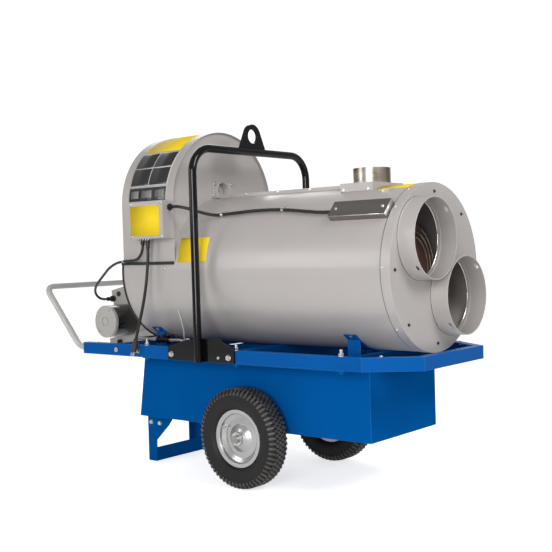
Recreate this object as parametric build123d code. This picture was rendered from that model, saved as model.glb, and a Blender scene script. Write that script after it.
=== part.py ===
from build123d import *
import os
from math import asin, atan2, cos, hypot, radians, sin, tan

# An indirect-fired forced air heater on a two-wheeled cart, in millimetres.
# +X points to the warm air outlets, -Y to the control side, +Z up. The model is drawn with
# x = 0 on the wheel axle and z = 0 on the ground, and is moved along X when it is written,
# so that its origin is the middle of its own footprint.

# ---------------------------------------------------------------- clearances
CURVE_GAP = 0.3      # between curved faces of two pieces
RUN_GAP = 0.05       # radial, a shaft in its bearing
BOLT_GAP = 0.1       # radial, a screw in its hole

# ---------------------------------------------------------------- wheels and axle
TYRE_R = 203.0
TYRE_HALF = 50.0
TREAD_HALF = 40.0
TREAD_DEPTH = 5.0
TREAD_GROOVES = 3
TREAD_GROOVE_W = 6.0
CARCASS_T = 11.0
RIM_SEAT_R = 101.6
RIM_FLANGE_R = 116.5
RIM_HALF = 34.0
RIM_T = 3.0
DISH_DEPTH = 20.0
HUB_R = 27.0
HUB_HALF = 38.0
VALVE_R = 91.0
VALVE_STEM_R = 4.0
VALVE_STEM_L = 26.0
TRACK_HALF = 307.0
AXLE_R = 16.0
AXLE_END = 13.0      # axle past the washer
WASHER_R = 27.0
WASHER_T = 2.5
COTTER_R = 1.6
COTTER_L = 46.0

# ---------------------------------------------------------------- deck
HANGER_DROP = 303.0  # axle centre to the deck's underside
RAIL_H = 51.0
RAIL_T = 4.0
RAIL_FLANGE = 34.0
DECK_HALF = 350.0
DECK_REAR = -928.0
DECK_SHOULDER = 616.0
DECK_NOSE = 801.0
NOSE_HALF = 221.0
CROSS_H = 34.0
CROSS_T = 4.0
MID_CROSS_X = 2.0
MID_CROSS_W = 40.0
REAR_CROSS_X = -700.0
SADDLE_X = (-589.0, 468.5)
SADDLE_W = 57.0
SADDLE_T = 4.0
SADDLE_BASE_T = 6.0
SADDLE_HALF = 182.0
SADDLE_SINK = 0.3    # how far the cradle's lowest point is let into the saddle's base
CRADLE_ANGLE = 49.0  # the cradle ends this far below the drum's axis
CRADLE_BOLT_ANGLE = 52.0

# ---------------------------------------------------------------- tank and stand
TANK_HALF = 235.0
TANK_FRONT = 572.0
TANK_REAR = -640.0
TANK_HEEL = -684.0
TANK_DEPTH = 283.0
TANK_T = 2.0
HANGER_X = (-517.0, 2.0, 518.0)
HANGER_STUD_IN = 15.0 # stud's axis inside the deck's edge
HANGER_PAST = 20.0   # the tank's flanges reach this far past the end studs
HANGER_T = 4.0
HANGER_SHORT = 4.0   # a flange stops this far inside the deck's edge
WELD_NUT_H = 9.0
NOSE_BOLT_SHARE = 0.3195 # of the way from the deck's shoulder to its nose
NOSE_BOLT_IN = 22.9  # inside the slanted edge
AXLE_PLATE_W = 90.0
AXLE_PLATE_T = 8.0
AXLE_PLATE_IN = 20.0 # plate's inner face, inside the tank's side
AXLE_FOOT_T = 3.0
AXLE_FOOT_W = 50.0
AXLE_PLATE_DROP = 28.0
FILLER_X = -450.0
FILLER_DROP = 126.0
FILLER_TILT = 30.0
FILLER_L = 60.0
FILLER_IN = 22.0
FILLER_R = 28.0
FILLER_T = 2.0
CAP_WALL = 5.6
CAP_L = 20.0
CAP_TOP = 4.0
LEG_HALF = 150.0
LEG_T = 6.0
LEG_W = 52.0
LEG_FRONT = -673.0
LEG_KNEE_Z = 97.0
GUSSET_LOW = (-594.0, 170.0)
GUSSET_HIGH = (-571.0, 197.0)
FOOT_BAR_H = 62.0
LEG_BOLTS = ((-701.0, 179.0), (-645.0, 178.0))

# ---------------------------------------------------------------- handle
HANDLE_R = 14.0
HANDLE_T = 2.5
HANDLE_RISE = 26.0   # leg centre above the deck's underside
HANDLE_START = -540.0
HANDLE_BEND_X = -975.0
HANDLE_BEND_R = 90.0
HANDLE_REACH = -1216.7
HANDLE_LIFT = 278.0
HANDLE_CORNER_R = 47.0
HANDLE_BOLTS = (-700.0, -556.0)

# ---------------------------------------------------------------- lifting frame
LIFT_X = -172.0
LIFT_R = 16.7
LIFT_T = 3.2
LIFT_H = 824.0       # crossbar centre above the deck's top
LIFT_BEND_R = 105.0
LIFT_FOOT = 2.0      # posts reach below the deck's underside
SIDE_PLATE_T = 8.0
SIDE_PLATE_REAR = -366.0
SIDE_PLATE_FRONT = 9.0
SIDE_PLATE_TOP = ((9.0, 4.0), (-76.0, 43.0), (-153.0, 44.0), (-265.0, 33.0), (-366.0, 3.0))
SIDE_BOLTS = ((-344.0, 23.0), (-20.0, 22.0))
SIDE_PIN = (-75.0, 19.0)
EYE_HOLE_R = 31.0
EYE_R = 52.0
EYE_T = 12.0
EYE_FOOT_HALF = 85.0
EYE_RISE = 69.0      # hole centre above the crossbar's centre

# ---------------------------------------------------------------- drum
DRUM_R = 320.0
SHEET_T = 1.5
SHELL_REAR = -669.0
CAP_FACE = 727.0
CAP_RIM_W = 38.0
CAP_SLACK = 0.3
JOINT_RISE = 35.0
TRIM_H = 13.0
TRIM_FRONT = -353.0
TRIM_OUT = 5.0
TRIM_LIP = 8.0
COLLAR_R = 152.4
COLLAR_OUT = 70.0
COLLAR_IN = 15.0
COLLAR_STEP = 1.2    # an outlet collar is this much smaller in radius behind its bead
NECK_STEP = 0.5      # and the flue collar behind its lip
COLLAR_SHIFT = (111.0, 110.0)
COLLAR_HEM = 3.0
BEAD_W = 3.0
SLOT_R = 6.0
SLOT_L = 24.0
FACE_SCREW_R = 287.0
RIM_SCREW_ANGLES = (2.0, 45.0, 66.0, 114.0, 135.0, 178.0, 225.0, 317.0)
HOOD_SCREW_ANGLE = 3.0
HOOD_SCREW_IN = (40.0, 65.0)  # from the hood's rear and front edges
CREST_SCREW = (88.0, 71.0)    # ahead of the hood, and the angle
FLUE_SCREW = (58.0, 66.0)     # ahead of the flue base, and the angle
STRIP_SCREW_X = (-190.0, -10.0, 163.0)
STRIP_RISE = 14.0
STRIP_HALF = 30.0
STRIP_T = 2.0

# ---------------------------------------------------------------- hood and fan
HOOD_REAR = -666.0
HOOD_FRONT = -346.0
HOOD_HALF = 321.0
HOOD_RISE = 293.0
HOOD_HEM = 3.0
HOOD_HEM_W = 10.0
HOOD_SETBACK = 12.0
REAR_SETBACK = 8.5
FAN_RISE = 359.0     # fan axis above the drum's axis
ORIFICE_R = 215.0
ORIFICE_DEPTH = 56.0
FAN_R = 203.0
FAN_HUB_R = 40.0
FAN_HUB_L = 40.0
FAN_X = -620.0
FAN_BLADES = 6
FAN_CHORD = 88.0
FAN_PITCH = 35.0
FAN_BLADE_T = 3.0
FAN_SHAFT_R = 8.0
FAN_SHAFT_IN = 60.0
FAN_MOTOR_R = 75.0
FAN_MOTOR_L = 200.0
MOTOR_CUP_R = 30.0
MOTOR_CUP_L = 22.0
MOTOR_BOSS_R = 7.0
MOUNT_FOOT = 70.0    # half width at the foot and at the top
MOUNT_HEAD = 63.0
MOUNT_T = 8.0
MOUNT_DOWN = 36.0
MOUNT_UP = 33.0
MOUNT_HOLE_R = 32.0
MOUNT_BOLTS = ((55.0, 24.0), (61.0, -24.0))
GUARD_T = 4.0
GUARD_RINGS = 6
GUARD_SPOKES = 8

# ---------------------------------------------------------------- combustion chamber and flue
CHAMBER_R = 180.0
CHAMBER_T = 2.0
CHAMBER_REAR = -600.0
CHAMBER_FRONT = 615.0
FLUE_X = 448.0
FLUE_DUCT_R = 66.0
FLUE_R = 74.5
FLUE_T = 1.0
FLUE_H = 60.0
FLUE_LIP_T = 1.5
FLUE_BASE_L = 152.0
FLUE_BASE_HALF = 110.0

# ---------------------------------------------------------------- burner
BURNER_X = -946.0
BURNER_Z = 639.0
BURNER_TILT = 12.0
MOTOR_R = 76.0
MOTOR_FACE_Y = -60.0
MOTOR_END_Y = -185.0
END_CAP_T = 15.0
ROTOR_R = 8.0
ROTOR_DEPTH = 58.0
HOUSING_X = (-95.0, 200.0)
HOUSING_Z = (-64.0, 88.0)
HOUSING_FAR = 100.0
HOUSING_T = 3.0
WHEEL_R = 55.0
BOX_FACE_Y = -45.0
IGNITION_X = (-100.0, 60.0)
IGNITION_H = 76.0
IGNITION_FAR = 75.0
INTAKE_X = (-173.0, 160.0)
INTAKE_FLOOR = 512.0
BLAST_R = 50.0
BLAST_T = 2.5
BLAST_Y = 10.0
BLAST_RISE = 24.0
BLAST_END = 400.0
THROAT_GAP = 4.0
THROAT_START = 325.0 # along the burner, outside the chamber's rear wall
PUMP_R = 38.0
PUMP_L = 60.0
BUTTON_AT = (-48.0, 136.0)
BUTTON_R = 12.0
BUTTON_OUT = 6.0
KNOB_AT = (-1020.0, 527.0)
KNOB_R = 12.5
KNOB_L = 13.0
KNOB_STEM_R = 4.0

# ---------------------------------------------------------------- controls and cables
CONTROL_X = (-546.0, -343.0)
CONTROL_RISE = 147.0
CONTROL_H = 157.0
CONTROL_D = 62.0
LID_T = 4.0
SENSOR_R = 6.5
BURNER_CABLE_R = 6.0
POWER_R = 6.5
PLUG_R = 12.5
PLUG_L = 55.0
SWITCH_ROD_R = 2.6
SWITCH_BALL_R = 4.9
SWITCH_TIP_R = 3.6
SWITCH_L = 20.0
SWITCH_TILT = 12.0
COVER_X = (432.0, 685.0)
COVER_ANGLE = 42.0
COVER_W = 74.0
COVER_OUT = 25.0
COVER_T = 1.5
CLIP_W = 12.0
CLIP_T = 1.6
CLIP_FOOT = 26.0

# ---------------------------------------------------------------- fuel line
FUEL_IN = 13.0       # the fuel line runs this far inside the tank's side
FUEL_RISE = 65.0     # pipe centre above the deck's underside
PIPE_R = 8.0
PIPE_T = 2.0
PICKUP_X = -400.0
VALVE_X = (-565.0, -495.0)
FUEL_VALVE_R = 14.0
LEVER_X = -530.0
LEVER_L = 58.0
FILTER_X = -794.0
FILTER_L = 68.0
FILTER_NUT = 6.0
FILTER_R = 20.0
LINE_R = 5.0
LINE_X = -712.0
LINE_FAR = 135.0

# ---------------------------------------------------------------- worked out from the above
AXLE_Z = TYRE_R
HANDLE_HALF = DECK_HALF - RAIL_T - HANDLE_R
HANGER_Y = DECK_HALF - HANGER_STUD_IN
HANGER_END = DECK_HALF - HANGER_SHORT
AXLE_PLATE_Y = TANK_HALF - AXLE_PLATE_IN
FUEL_Y = -(TANK_HALF - FUEL_IN)
DECK_Z = AXLE_Z + HANGER_DROP
DECK_TOP = DECK_Z + RAIL_H
CRADLE_R = DRUM_R + CURVE_GAP + SADDLE_T
SADDLE_TOP = DECK_Z + CROSS_H + SADDLE_BASE_T
DRUM_Z = SADDLE_TOP - SADDLE_SINK + CRADLE_R
JOINT_Z = DRUM_Z + JOINT_RISE
HOOD_BASE = JOINT_Z + TRIM_H
HOOD_Z = DRUM_Z + HOOD_RISE
FAN_Z = DRUM_Z + FAN_RISE
STRIP_Z = DRUM_Z + DRUM_R + STRIP_RISE
FLUE_Z = STRIP_Z + FLUE_H
TANK_Z = DECK_Z - TANK_DEPTH
FRONT_PLATE_X = HOOD_FRONT - HOOD_SETBACK
SHELL_JOIN = FRONT_PLATE_X - SHEET_T
REAR_PANEL_X = HOOD_REAR + REAR_SETBACK
LIFT_Z = DECK_TOP + LIFT_H
LIFT_Y = DECK_HALF + SIDE_PLATE_T + LIFT_R
EYE_Z = LIFT_Z + EYE_RISE
HANDLE_Z = DECK_Z + HANDLE_RISE
FUEL_Z = DECK_Z + FUEL_RISE
CONTROL_Z = DRUM_Z + CONTROL_RISE
CONTROL_Y = -HOOD_HALF - CONTROL_D
COLLARS = {"upper": (-COLLAR_SHIFT[0], DRUM_Z + COLLAR_SHIFT[1]),
           "lower": (COLLAR_SHIFT[0], DRUM_Z - COLLAR_SHIFT[1])}
ORIGIN_SHIFT = -(DECK_NOSE + HANDLE_REACH - HANDLE_R) / 2


# ---------------------------------------------------------------- helpers
def block(x0, x1, y0, y1, z0, z1):
    """A box between two corners."""
    return Pos((x0 + x1) / 2, (y0 + y1) / 2, (z0 + z1) / 2) * Box(x1 - x0, y1 - y0, z1 - z0)


def rod(start, end, radius):
    """A round bar from one point to another."""
    start = Vector(*start)
    along = Vector(*end) - start
    seat = Plane(origin=start, z_dir=along)
    return seat.location * Cylinder(radius, along.length, align=(Align.CENTER, Align.CENTER, Align.MIN))


def pipe(start, end, outer, inner):
    """A round tube from one point to another."""
    return rod(start, end, outer) - rod(start, end, inner)


def prism(points, push):
    """A flat outline of points in space, pushed along a vector."""
    push = Vector(*push)
    return extrude(make_face(Polyline(*points, close=True)), amount=push.length, dir=push.normalized())


def swept(path, outer, inner=0.0):
    """A round bar or tube along a path."""
    seat = Plane(origin=path @ 0, z_dir=path % 0)
    body = sweep(seat * Circle(outer), path=path)
    if inner:
        body = body - sweep(seat * Circle(inner), path=path)
    return body


def hexagon(at, out, flats, height):
    """A hexagon standing on a point."""
    seat = Plane(origin=Vector(*at), z_dir=Vector(*out))
    return seat.location * extrude(RegularPolygon(flats / 2, 6, major_radius=False), height)


def beyond(at, out, distance):
    """The point a distance along a direction."""
    return tuple(a + distance * o for a, o in zip(at, out))


def bolt(at, out, grip, shank=6.0, nut=True):
    """A hexagon bolt with its washer on a face, its shank through the grip, and a nut beyond it."""
    top = beyond(at, out, 1.6)
    head = rod(at, top, shank * 2) + hexagon(top, out, shank * 3, shank * 1.1)
    body = head + rod(at, beyond(at, out, -grip - (shank * 1.4 if nut else 0)), shank)
    if nut:
        back = tuple(-o for o in out)
        body = body + hexagon(beyond(at, out, -grip), back, shank * 3, shank * 1.1)
    return body


def bolt_hole(at, out, grip, shank=6.0):
    """The hole a bolt needs through its grip."""
    return rod(beyond(at, out, 1), beyond(at, out, -grip - 1), shank + BOLT_GAP)


SCREW_R = 2.4
SCREW_IN = 9.0
SCREW_HEAD = (rod((0, 0, 0), (0, 0, 1.2), 6.5) + hexagon((0, 0, 1.2), (0, 0, 1), 8.0, 3.6)
              + rod((0, 0, -SCREW_IN), (0, 0, 0), SCREW_R))


def screw(at, out):
    """A sheet metal screw with its head on a face."""
    return Plane(origin=Vector(*at), z_dir=Vector(*out)).location * SCREW_HEAD


def screw_hole(at, out):
    return rod(beyond(at, out, 2), beyond(at, out, -SCREW_IN - 1), SCREW_R + BOLT_GAP)


def drilled(body, *holes):
    """A body with its holes cut."""
    for hole in holes:
        body = body - hole
    return body


def on_drum(angle):
    """A place on the drum's axis whose Z points outwards, an angle above level on the control side."""
    return Pos(0, 0, DRUM_Z) * Rot(90 - angle, 0, 0)


def drum_point(x, angle, radius):
    """A point about the drum's axis, and the direction outwards there."""
    out = (0.0, -cos(radians(angle)), sin(radians(angle)))
    return (x, radius * out[1], DRUM_Z + radius * out[2]), out


def drum_rod(x0, x1, radius):
    return rod((x0, 0, DRUM_Z), (x1, 0, DRUM_Z), radius)


BURNER = Pos(BURNER_X, 0, BURNER_Z) * Rot(0, -BURNER_TILT, 0)


def burner_point(x, y, z):
    """A point given along the tilted burner."""
    t = radians(BURNER_TILT)
    return (BURNER_X + x * cos(t) - z * sin(t), y, BURNER_Z + x * sin(t) + z * cos(t))


def cord_path(points):
    """Straight runs joined by arcs as large as their runs allow."""
    radii = []
    for a, b, c in zip(points, points[1:], points[2:]):
        run_in = Vector(*b) - Vector(*a)
        run_out = Vector(*c) - Vector(*b)
        turn = radians(run_in.get_angle(run_out))
        radii.append(0.45 * min(run_in.length, run_out.length) / tan(turn / 2))
    print("cord radii", [round(r) for r in radii])
    return FilletPolyline(*points, radius=radii)


# ---------------------------------------------------------------- screws and bolts: where they sit
def hanger_studs():
    """Studs through both flanges of the deck, at the tank hangers."""
    return [(x, s * HANGER_Y) for x in HANGER_X for s in (-1, 1)]


def nose_bolts():
    """Bolts through the top flange of the two slanted rails."""
    run, slant = DECK_NOSE - DECK_SHOULDER, DECK_HALF - NOSE_HALF
    length = hypot(run, slant)
    x = DECK_SHOULDER + NOSE_BOLT_SHARE * run - NOSE_BOLT_IN * slant / length
    y = DECK_HALF - NOSE_BOLT_SHARE * slant - NOSE_BOLT_IN * run / length
    return [((x, s * y, DECK_TOP), (0, 0, 1)) for s in (-1, 1)]


def side_bolts(side):
    return [((x, side * (DECK_HALF + SIDE_PLATE_T), DECK_Z + z), (0, side, 0)) for x, z in SIDE_BOLTS]


def side_pin(side):
    return (SIDE_PIN[0], side * (DECK_HALF + SIDE_PLATE_T), DECK_Z + SIDE_PIN[1]), (0, side, 0)


def handle_bolts(side):
    return [((x, side * DECK_HALF, HANDLE_Z), (0, side, 0)) for x in HANDLE_BOLTS]


def leg_bolts(side):
    return [((x, side * (LEG_HALF + LEG_T / 2), z), (0, side, 0)) for x, z in LEG_BOLTS]


def cradle_bolts():
    angles = (CRADLE_BOLT_ANGLE, 180 - CRADLE_BOLT_ANGLE)
    return [drum_point(x, -a, CRADLE_R) for x in SADDLE_X for a in angles]


def mount_bolts():
    return [((FRONT_PLATE_X + MOUNT_T, s * y, FAN_Z + z), (1, 0, 0)) for y, z in MOUNT_BOLTS for s in (-1, 1)]


def rim_screws():
    x = CAP_FACE - CAP_RIM_W + 8
    rim = DRUM_R + CAP_SLACK + SHEET_T
    return [drum_point(x, angle, rim) for angle in RIM_SCREW_ANGLES]


def face_screws():
    spots = []
    for k in range(8):
        (_, y, z), _ = drum_point(0, 45 * k, FACE_SCREW_R)
        if all(hypot(y - cy, z - cz) > COLLAR_R + 15 for cy, cz in COLLARS.values()):
            spots.append(((CAP_FACE, y, z), (1, 0, 0)))
    return spots


def shell_side_screws():
    places = [(HOOD_REAR + HOOD_SCREW_IN[0], HOOD_SCREW_ANGLE),
              (HOOD_FRONT - HOOD_SCREW_IN[1], HOOD_SCREW_ANGLE)]
    places.append((HOOD_FRONT + CREST_SCREW[0], CREST_SCREW[1]))
    places.append((FLUE_X + FLUE_BASE_L / 2 + FLUE_SCREW[0], FLUE_SCREW[1]))
    return [drum_point(x, a, DRUM_R + CURVE_GAP) for x, angle in places for a in (angle, 180 - angle)]


def strip_screws():
    return [((x, s * STRIP_HALF, STRIP_Z - 5), (0, s, 0)) for x in STRIP_SCREW_X for s in (-1, 1)]


def flue_base_screws():
    ends = (FLUE_X - FLUE_BASE_L / 2 + 17, FLUE_X + FLUE_BASE_L / 2 - 19)
    return [((x, s * FLUE_BASE_HALF, STRIP_Z - 26), (0, s, 0)) for x in ends for s in (-1, 1)]


def lid_screws():
    face = CONTROL_Y - LID_T
    return [((x, face + 1.8, z), (0, -1, 0)) for x in (CONTROL_X[0] + 9, CONTROL_X[1] - 9)
            for z in (CONTROL_Z + 9, CONTROL_Z + CONTROL_H - 9)]


def cover_screws():
    top = DRUM_R + COVER_OUT
    return [drum_point(x, COVER_ANGLE, top) for x in (COVER_X[0] + 22, COVER_X[1] - 22)]


def end_cap_screws():
    face = MOTOR_END_Y - END_CAP_T
    spots = []
    for k in range(4):
        a = radians(45 + 90 * k)
        x, _, z = burner_point(62 * cos(a), 0, 62 * sin(a))
        spots.append(((x, face, z), (0, -1, 0)))
    return spots


# ---------------------------------------------------------------- cart
def inset(points, depth):
    """An open outline moved to its left, with mitred corners."""
    normals = []
    for (ax, ay), (bx, by) in zip(points, points[1:]):
        run = hypot(bx - ax, by - ay)
        normals.append(((ay - by) / run, (bx - ax) / run))
    moved = []
    for i, (x, y) in enumerate(points):
        before, after = normals[max(i - 1, 0)], normals[min(i, len(normals) - 1)]
        share = depth / (1 + before[0] * after[0] + before[1] * after[1])
        moved.append((x + share * (before[0] + after[0]), y + share * (before[1] + after[1])))
    return moved


def deck_rails():
    """Five channel rails with mitred corners, open towards the inside of the deck."""
    outer = [(DECK_REAR, -DECK_HALF), (DECK_SHOULDER, -DECK_HALF), (DECK_NOSE, -NOSE_HALF),
             (DECK_NOSE, NOSE_HALF), (DECK_SHOULDER, DECK_HALF), (DECK_REAR, DECK_HALF)]
    web, flange = inset(outer, RAIL_T), inset(outer, RAIL_FLANGE)
    holes = [rod((x, y, DECK_Z - 1), (x, y, DECK_TOP + 1), 6 + BOLT_GAP) for x, y in hanger_studs()]
    holes += [bolt_hole(at, out, RAIL_T, 4.0) for at, out in nose_bolts()]
    for s in (-1, 1):
        holes += [bolt_hole(at, out, SIDE_PLATE_T + RAIL_T) for at, out in side_bolts(s)]
        holes += [bolt_hole(at, out, RAIL_T, 4.0) for at, out in handle_bolts(s)]
        holes.append(bolt_hole(*side_pin(s), SIDE_PLATE_T + RAIL_T, 3.0))
    rails = []
    for i in range(len(outer) - 1):
        def quad(inner, z):
            return [(*outer[i], z), (*outer[i + 1], z), (*inner[i + 1], z), (*inner[i], z)]
        rail = (prism(quad(web, DECK_Z), (0, 0, RAIL_H)) + prism(quad(flange, DECK_Z), (0, 0, RAIL_T))
                + prism(quad(flange, DECK_TOP - RAIL_T), (0, 0, RAIL_T)))
        rails.append(drilled(rail, *holes))
    return rails


def channel(x, width, height):
    """A cross member, open below, between the rails' flanges."""
    reach = DECK_HALF - RAIL_FLANGE
    body = block(x - width / 2, x + width / 2, -reach, reach, DECK_Z, DECK_Z + height)
    return body - block(x - width / 2 + CROSS_T, x + width / 2 - CROSS_T, -reach, reach,
                        DECK_Z, DECK_Z + height - CROSS_T)


def deck_crossmembers():
    middle = channel(MID_CROSS_X, MID_CROSS_W, RAIL_H)
    middle = middle - drum_rod(MID_CROSS_X - MID_CROSS_W, MID_CROSS_X + MID_CROSS_W, DRUM_R + 1.0)
    return ([channel(REAR_CROSS_X, MID_CROSS_W, RAIL_H), middle]
            + [channel(x, SADDLE_W, CROSS_H) for x in SADDLE_X])


def drum_saddle(x):
    """A base, two end plates and a curved cradle under the drum."""
    x0, x1 = x - SADDLE_W / 2, x + SADDLE_W / 2
    tip = CRADLE_R * cos(radians(CRADLE_ANGLE))
    top = DRUM_Z - CRADLE_R * sin(radians(CRADLE_ANGLE))
    cradle = pipe((x0, 0, DRUM_Z), (x1, 0, DRUM_Z), CRADLE_R, DRUM_R + CURVE_GAP)
    cradle = cradle & block(x0, x1, -tip, tip, DECK_Z, top)
    base = block(x0, x1, -SADDLE_HALF, SADDLE_HALF, SADDLE_TOP - SADDLE_BASE_T, SADDLE_TOP)
    ends = [block(x0, x1, min(s * SADDLE_HALF, s * (SADDLE_HALF - SADDLE_T)),
                  max(s * SADDLE_HALF, s * (SADDLE_HALF - SADDLE_T)),
                  SADDLE_TOP - SADDLE_BASE_T, top) for s in (-1, 1)]
    body = (base + ends[0] + ends[1]) - drum_rod(x0, x1, CRADLE_R - SADDLE_T / 2)
    holes = [rod(beyond(at, out, 2), beyond(at, out, -SADDLE_T - 2), 4 + BOLT_GAP)
             for at, out in cradle_bolts() if abs(at[0] - x) < 1]
    return drilled(body + cradle, *holes)


def fuel_tank():
    """Six flat sheets welded edge to edge: two sides, and the bottom, top and ends between them."""
    def side(inset_by, y):
        return [(TANK_FRONT - inset_by, y, TANK_Z + inset_by), (TANK_FRONT - inset_by, y, DECK_Z - inset_by),
                (TANK_REAR + inset_by, y, DECK_Z - inset_by), (TANK_HEEL + inset_by, y, TANK_Z + inset_by)]
    within = TANK_HALF - TANK_T
    outer = prism(side(0, -TANK_HALF), (0, 2 * TANK_HALF, 0))
    walls = outer - prism(side(TANK_T, -within), (0, 2 * within, 0))
    rear, front = TANK_HEEL - 1, TANK_FRONT + 1
    low, high = TANK_Z + TANK_T, DECK_Z - TANK_T
    pickup = rod((PICKUP_X, FUEL_Y, DECK_Z - 5), (PICKUP_X, FUEL_Y, DECK_Z + 1), PIPE_R + BOLT_GAP)
    filler = filler_tube(-FILLER_IN, FILLER_L, FILLER_R + BOLT_GAP)
    return [walls & block(rear, front, -TANK_HALF - 1, -within, TANK_Z - 1, DECK_Z + 1),
            (walls & block(rear, front, within, TANK_HALF + 1, TANK_Z - 1, DECK_Z + 1)) - filler,
            walls & block(rear, front, -within, within, TANK_Z - 1, low),
            (walls & block(rear, front, -within, within, high, DECK_Z + 1)) - pickup,
            walls & block(rear, 0, -within, within, low, high),
            walls & block(0, front, -within, within, low, high)]


def filler_at(distance):
    """A place on the filler neck's axis, past the tank's far wall."""
    tilt = radians(FILLER_TILT)
    seat = Plane(origin=Vector(FILLER_X, TANK_HALF, DECK_Z - FILLER_DROP),
                 z_dir=Vector(0, cos(tilt), sin(tilt)))
    return seat.location * Pos(0, 0, distance)


def filler_tube(start, end, radius):
    return filler_at(start) * Cylinder(radius, end - start, align=(Align.CENTER, Align.CENTER, Align.MIN))


def filler_neck():
    return (filler_tube(-FILLER_IN, FILLER_L, FILLER_R)
            - filler_tube(-FILLER_IN - 1, FILLER_L + 1, FILLER_R - FILLER_T))


def fuel_cap():
    """A cap over the neck's end, with a grip of ten flutes."""
    wall = FILLER_R + CURVE_GAP
    top = FILLER_L + CURVE_GAP + CAP_TOP
    body = filler_tube(top - CAP_L, top, wall + CAP_WALL) - filler_tube(top - CAP_L - 1, top - CAP_TOP, wall)
    for k in range(10):
        a = radians(36 * k)
        reach = wall + CAP_WALL + 2
        flute = filler_at(top - CAP_L - 1) * Pos(reach * cos(a), reach * sin(a), 0)
        body = body - flute * Cylinder(4.5, CAP_L + 2, align=(Align.CENTER, Align.CENTER, Align.MIN))
    return body


def hanger_brackets():
    """Flanges with weld nuts, which hang the tank from the rails, and the plates that carry the axle."""
    pieces = []
    rear, front = HANGER_X[0] - HANGER_PAST, HANGER_X[-1] + HANGER_PAST
    for s in (-1, 1):
        y0, y1 = sorted((s * TANK_HALF, s * HANGER_END))
        flange = block(rear, front, y0, y1, DECK_Z - HANGER_T, DECK_Z)
        for x in HANGER_X:
            seat = (x, s * HANGER_Y, DECK_Z - HANGER_T)
            flange = flange + hexagon(seat, (0, 0, -1), 19.0, WELD_NUT_H)
            low = beyond(seat, (0, 0, -1), WELD_NUT_H + 1)
            flange = flange - rod(low, beyond(seat, (0, 0, 1), HANGER_T + 1), 6 + BOLT_GAP)
        pieces.append(flange)
    low = AXLE_Z - AXLE_PLATE_DROP
    for s in (-1, 1):
        y = min(s * AXLE_PLATE_Y, s * (AXLE_PLATE_Y + AXLE_PLATE_T))
        outline = [(-AXLE_PLATE_W, y, TANK_Z), (AXLE_PLATE_W, y, TANK_Z),
                   (AXLE_PLATE_W / 2, y, low), (-AXLE_PLATE_W / 2, y, low)]
        plate = prism(outline, (0, AXLE_PLATE_T, 0))
        y0, y1 = sorted((s * (AXLE_PLATE_Y + AXLE_PLATE_T), s * (AXLE_PLATE_Y + AXLE_PLATE_T - AXLE_FOOT_W)))
        plate = plate + block(-AXLE_PLATE_W, AXLE_PLATE_W, y0, y1, TANK_Z - AXLE_FOOT_T, TANK_Z)
        pieces.append(plate - rod((0, y - 1, AXLE_Z), (0, y + AXLE_PLATE_T + 1, AXLE_Z), AXLE_R + RUN_GAP))
    return pieces


def leg_stand():
    """Two gusseted legs joined by a foot bar."""
    rear = LEG_FRONT - LEG_W
    profile = [(rear, 0), (LEG_FRONT, 0), (LEG_FRONT, LEG_KNEE_Z), GUSSET_LOW, GUSSET_HIGH,
               (GUSSET_HIGH[0], TANK_Z), (rear, TANK_Z)]
    body = block(rear + LEG_W - 2 - LEG_T, rear + LEG_W - 2, -LEG_HALF, LEG_HALF, 0, FOOT_BAR_H)
    for s in (-1, 1):
        plate = prism([(x, s * LEG_HALF - LEG_T / 2, z) for x, z in profile], (0, LEG_T, 0))
        y0, y1 = sorted((s * (LEG_HALF - LEG_T / 2), s * (LEG_HALF - 40)))
        seat = block(TANK_HEEL, GUSSET_HIGH[0], y0, y1, TANK_Z - LEG_T, TANK_Z)
        flange = block(rear, rear + LEG_T, y0, y1, 0, TANK_Z)
        body = body + plate + seat + flange
        body = drilled(body, *[bolt_hole(at, out, LEG_T, 5.0) for at, out in leg_bolts(s)])
    return body


def tow_handle():
    """A bent tube: two legs inside the rails, rising to a crossbar."""
    end_z = HANDLE_Z + HANDLE_LIFT
    points = [(HANDLE_START, -HANDLE_HALF, HANDLE_Z), (HANDLE_BEND_X, -HANDLE_HALF, HANDLE_Z),
              (HANDLE_REACH, -HANDLE_HALF, end_z), (HANDLE_REACH, HANDLE_HALF, end_z),
              (HANDLE_BEND_X, HANDLE_HALF, HANDLE_Z), (HANDLE_START, HANDLE_HALF, HANDLE_Z)]
    radii = [HANDLE_BEND_R, HANDLE_CORNER_R, HANDLE_CORNER_R, HANDLE_BEND_R]
    tube = swept(FilletPolyline(*points, radius=radii), HANDLE_R, HANDLE_R - HANDLE_T)
    holes = [rod(at, beyond(at, out, -(DECK_HALF - HANDLE_HALF)), 4 + BOLT_GAP)
             for s in (-1, 1) for at, out in handle_bolts(s)]
    return drilled(tube, *holes)


def lifting_frame():
    foot = DECK_Z - LIFT_FOOT
    points = [(LIFT_X, -LIFT_Y, foot), (LIFT_X, -LIFT_Y, LIFT_Z),
              (LIFT_X, LIFT_Y, LIFT_Z), (LIFT_X, LIFT_Y, foot)]
    return swept(FilletPolyline(*points, radius=LIFT_BEND_R), LIFT_R, LIFT_R - LIFT_T)


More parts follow.
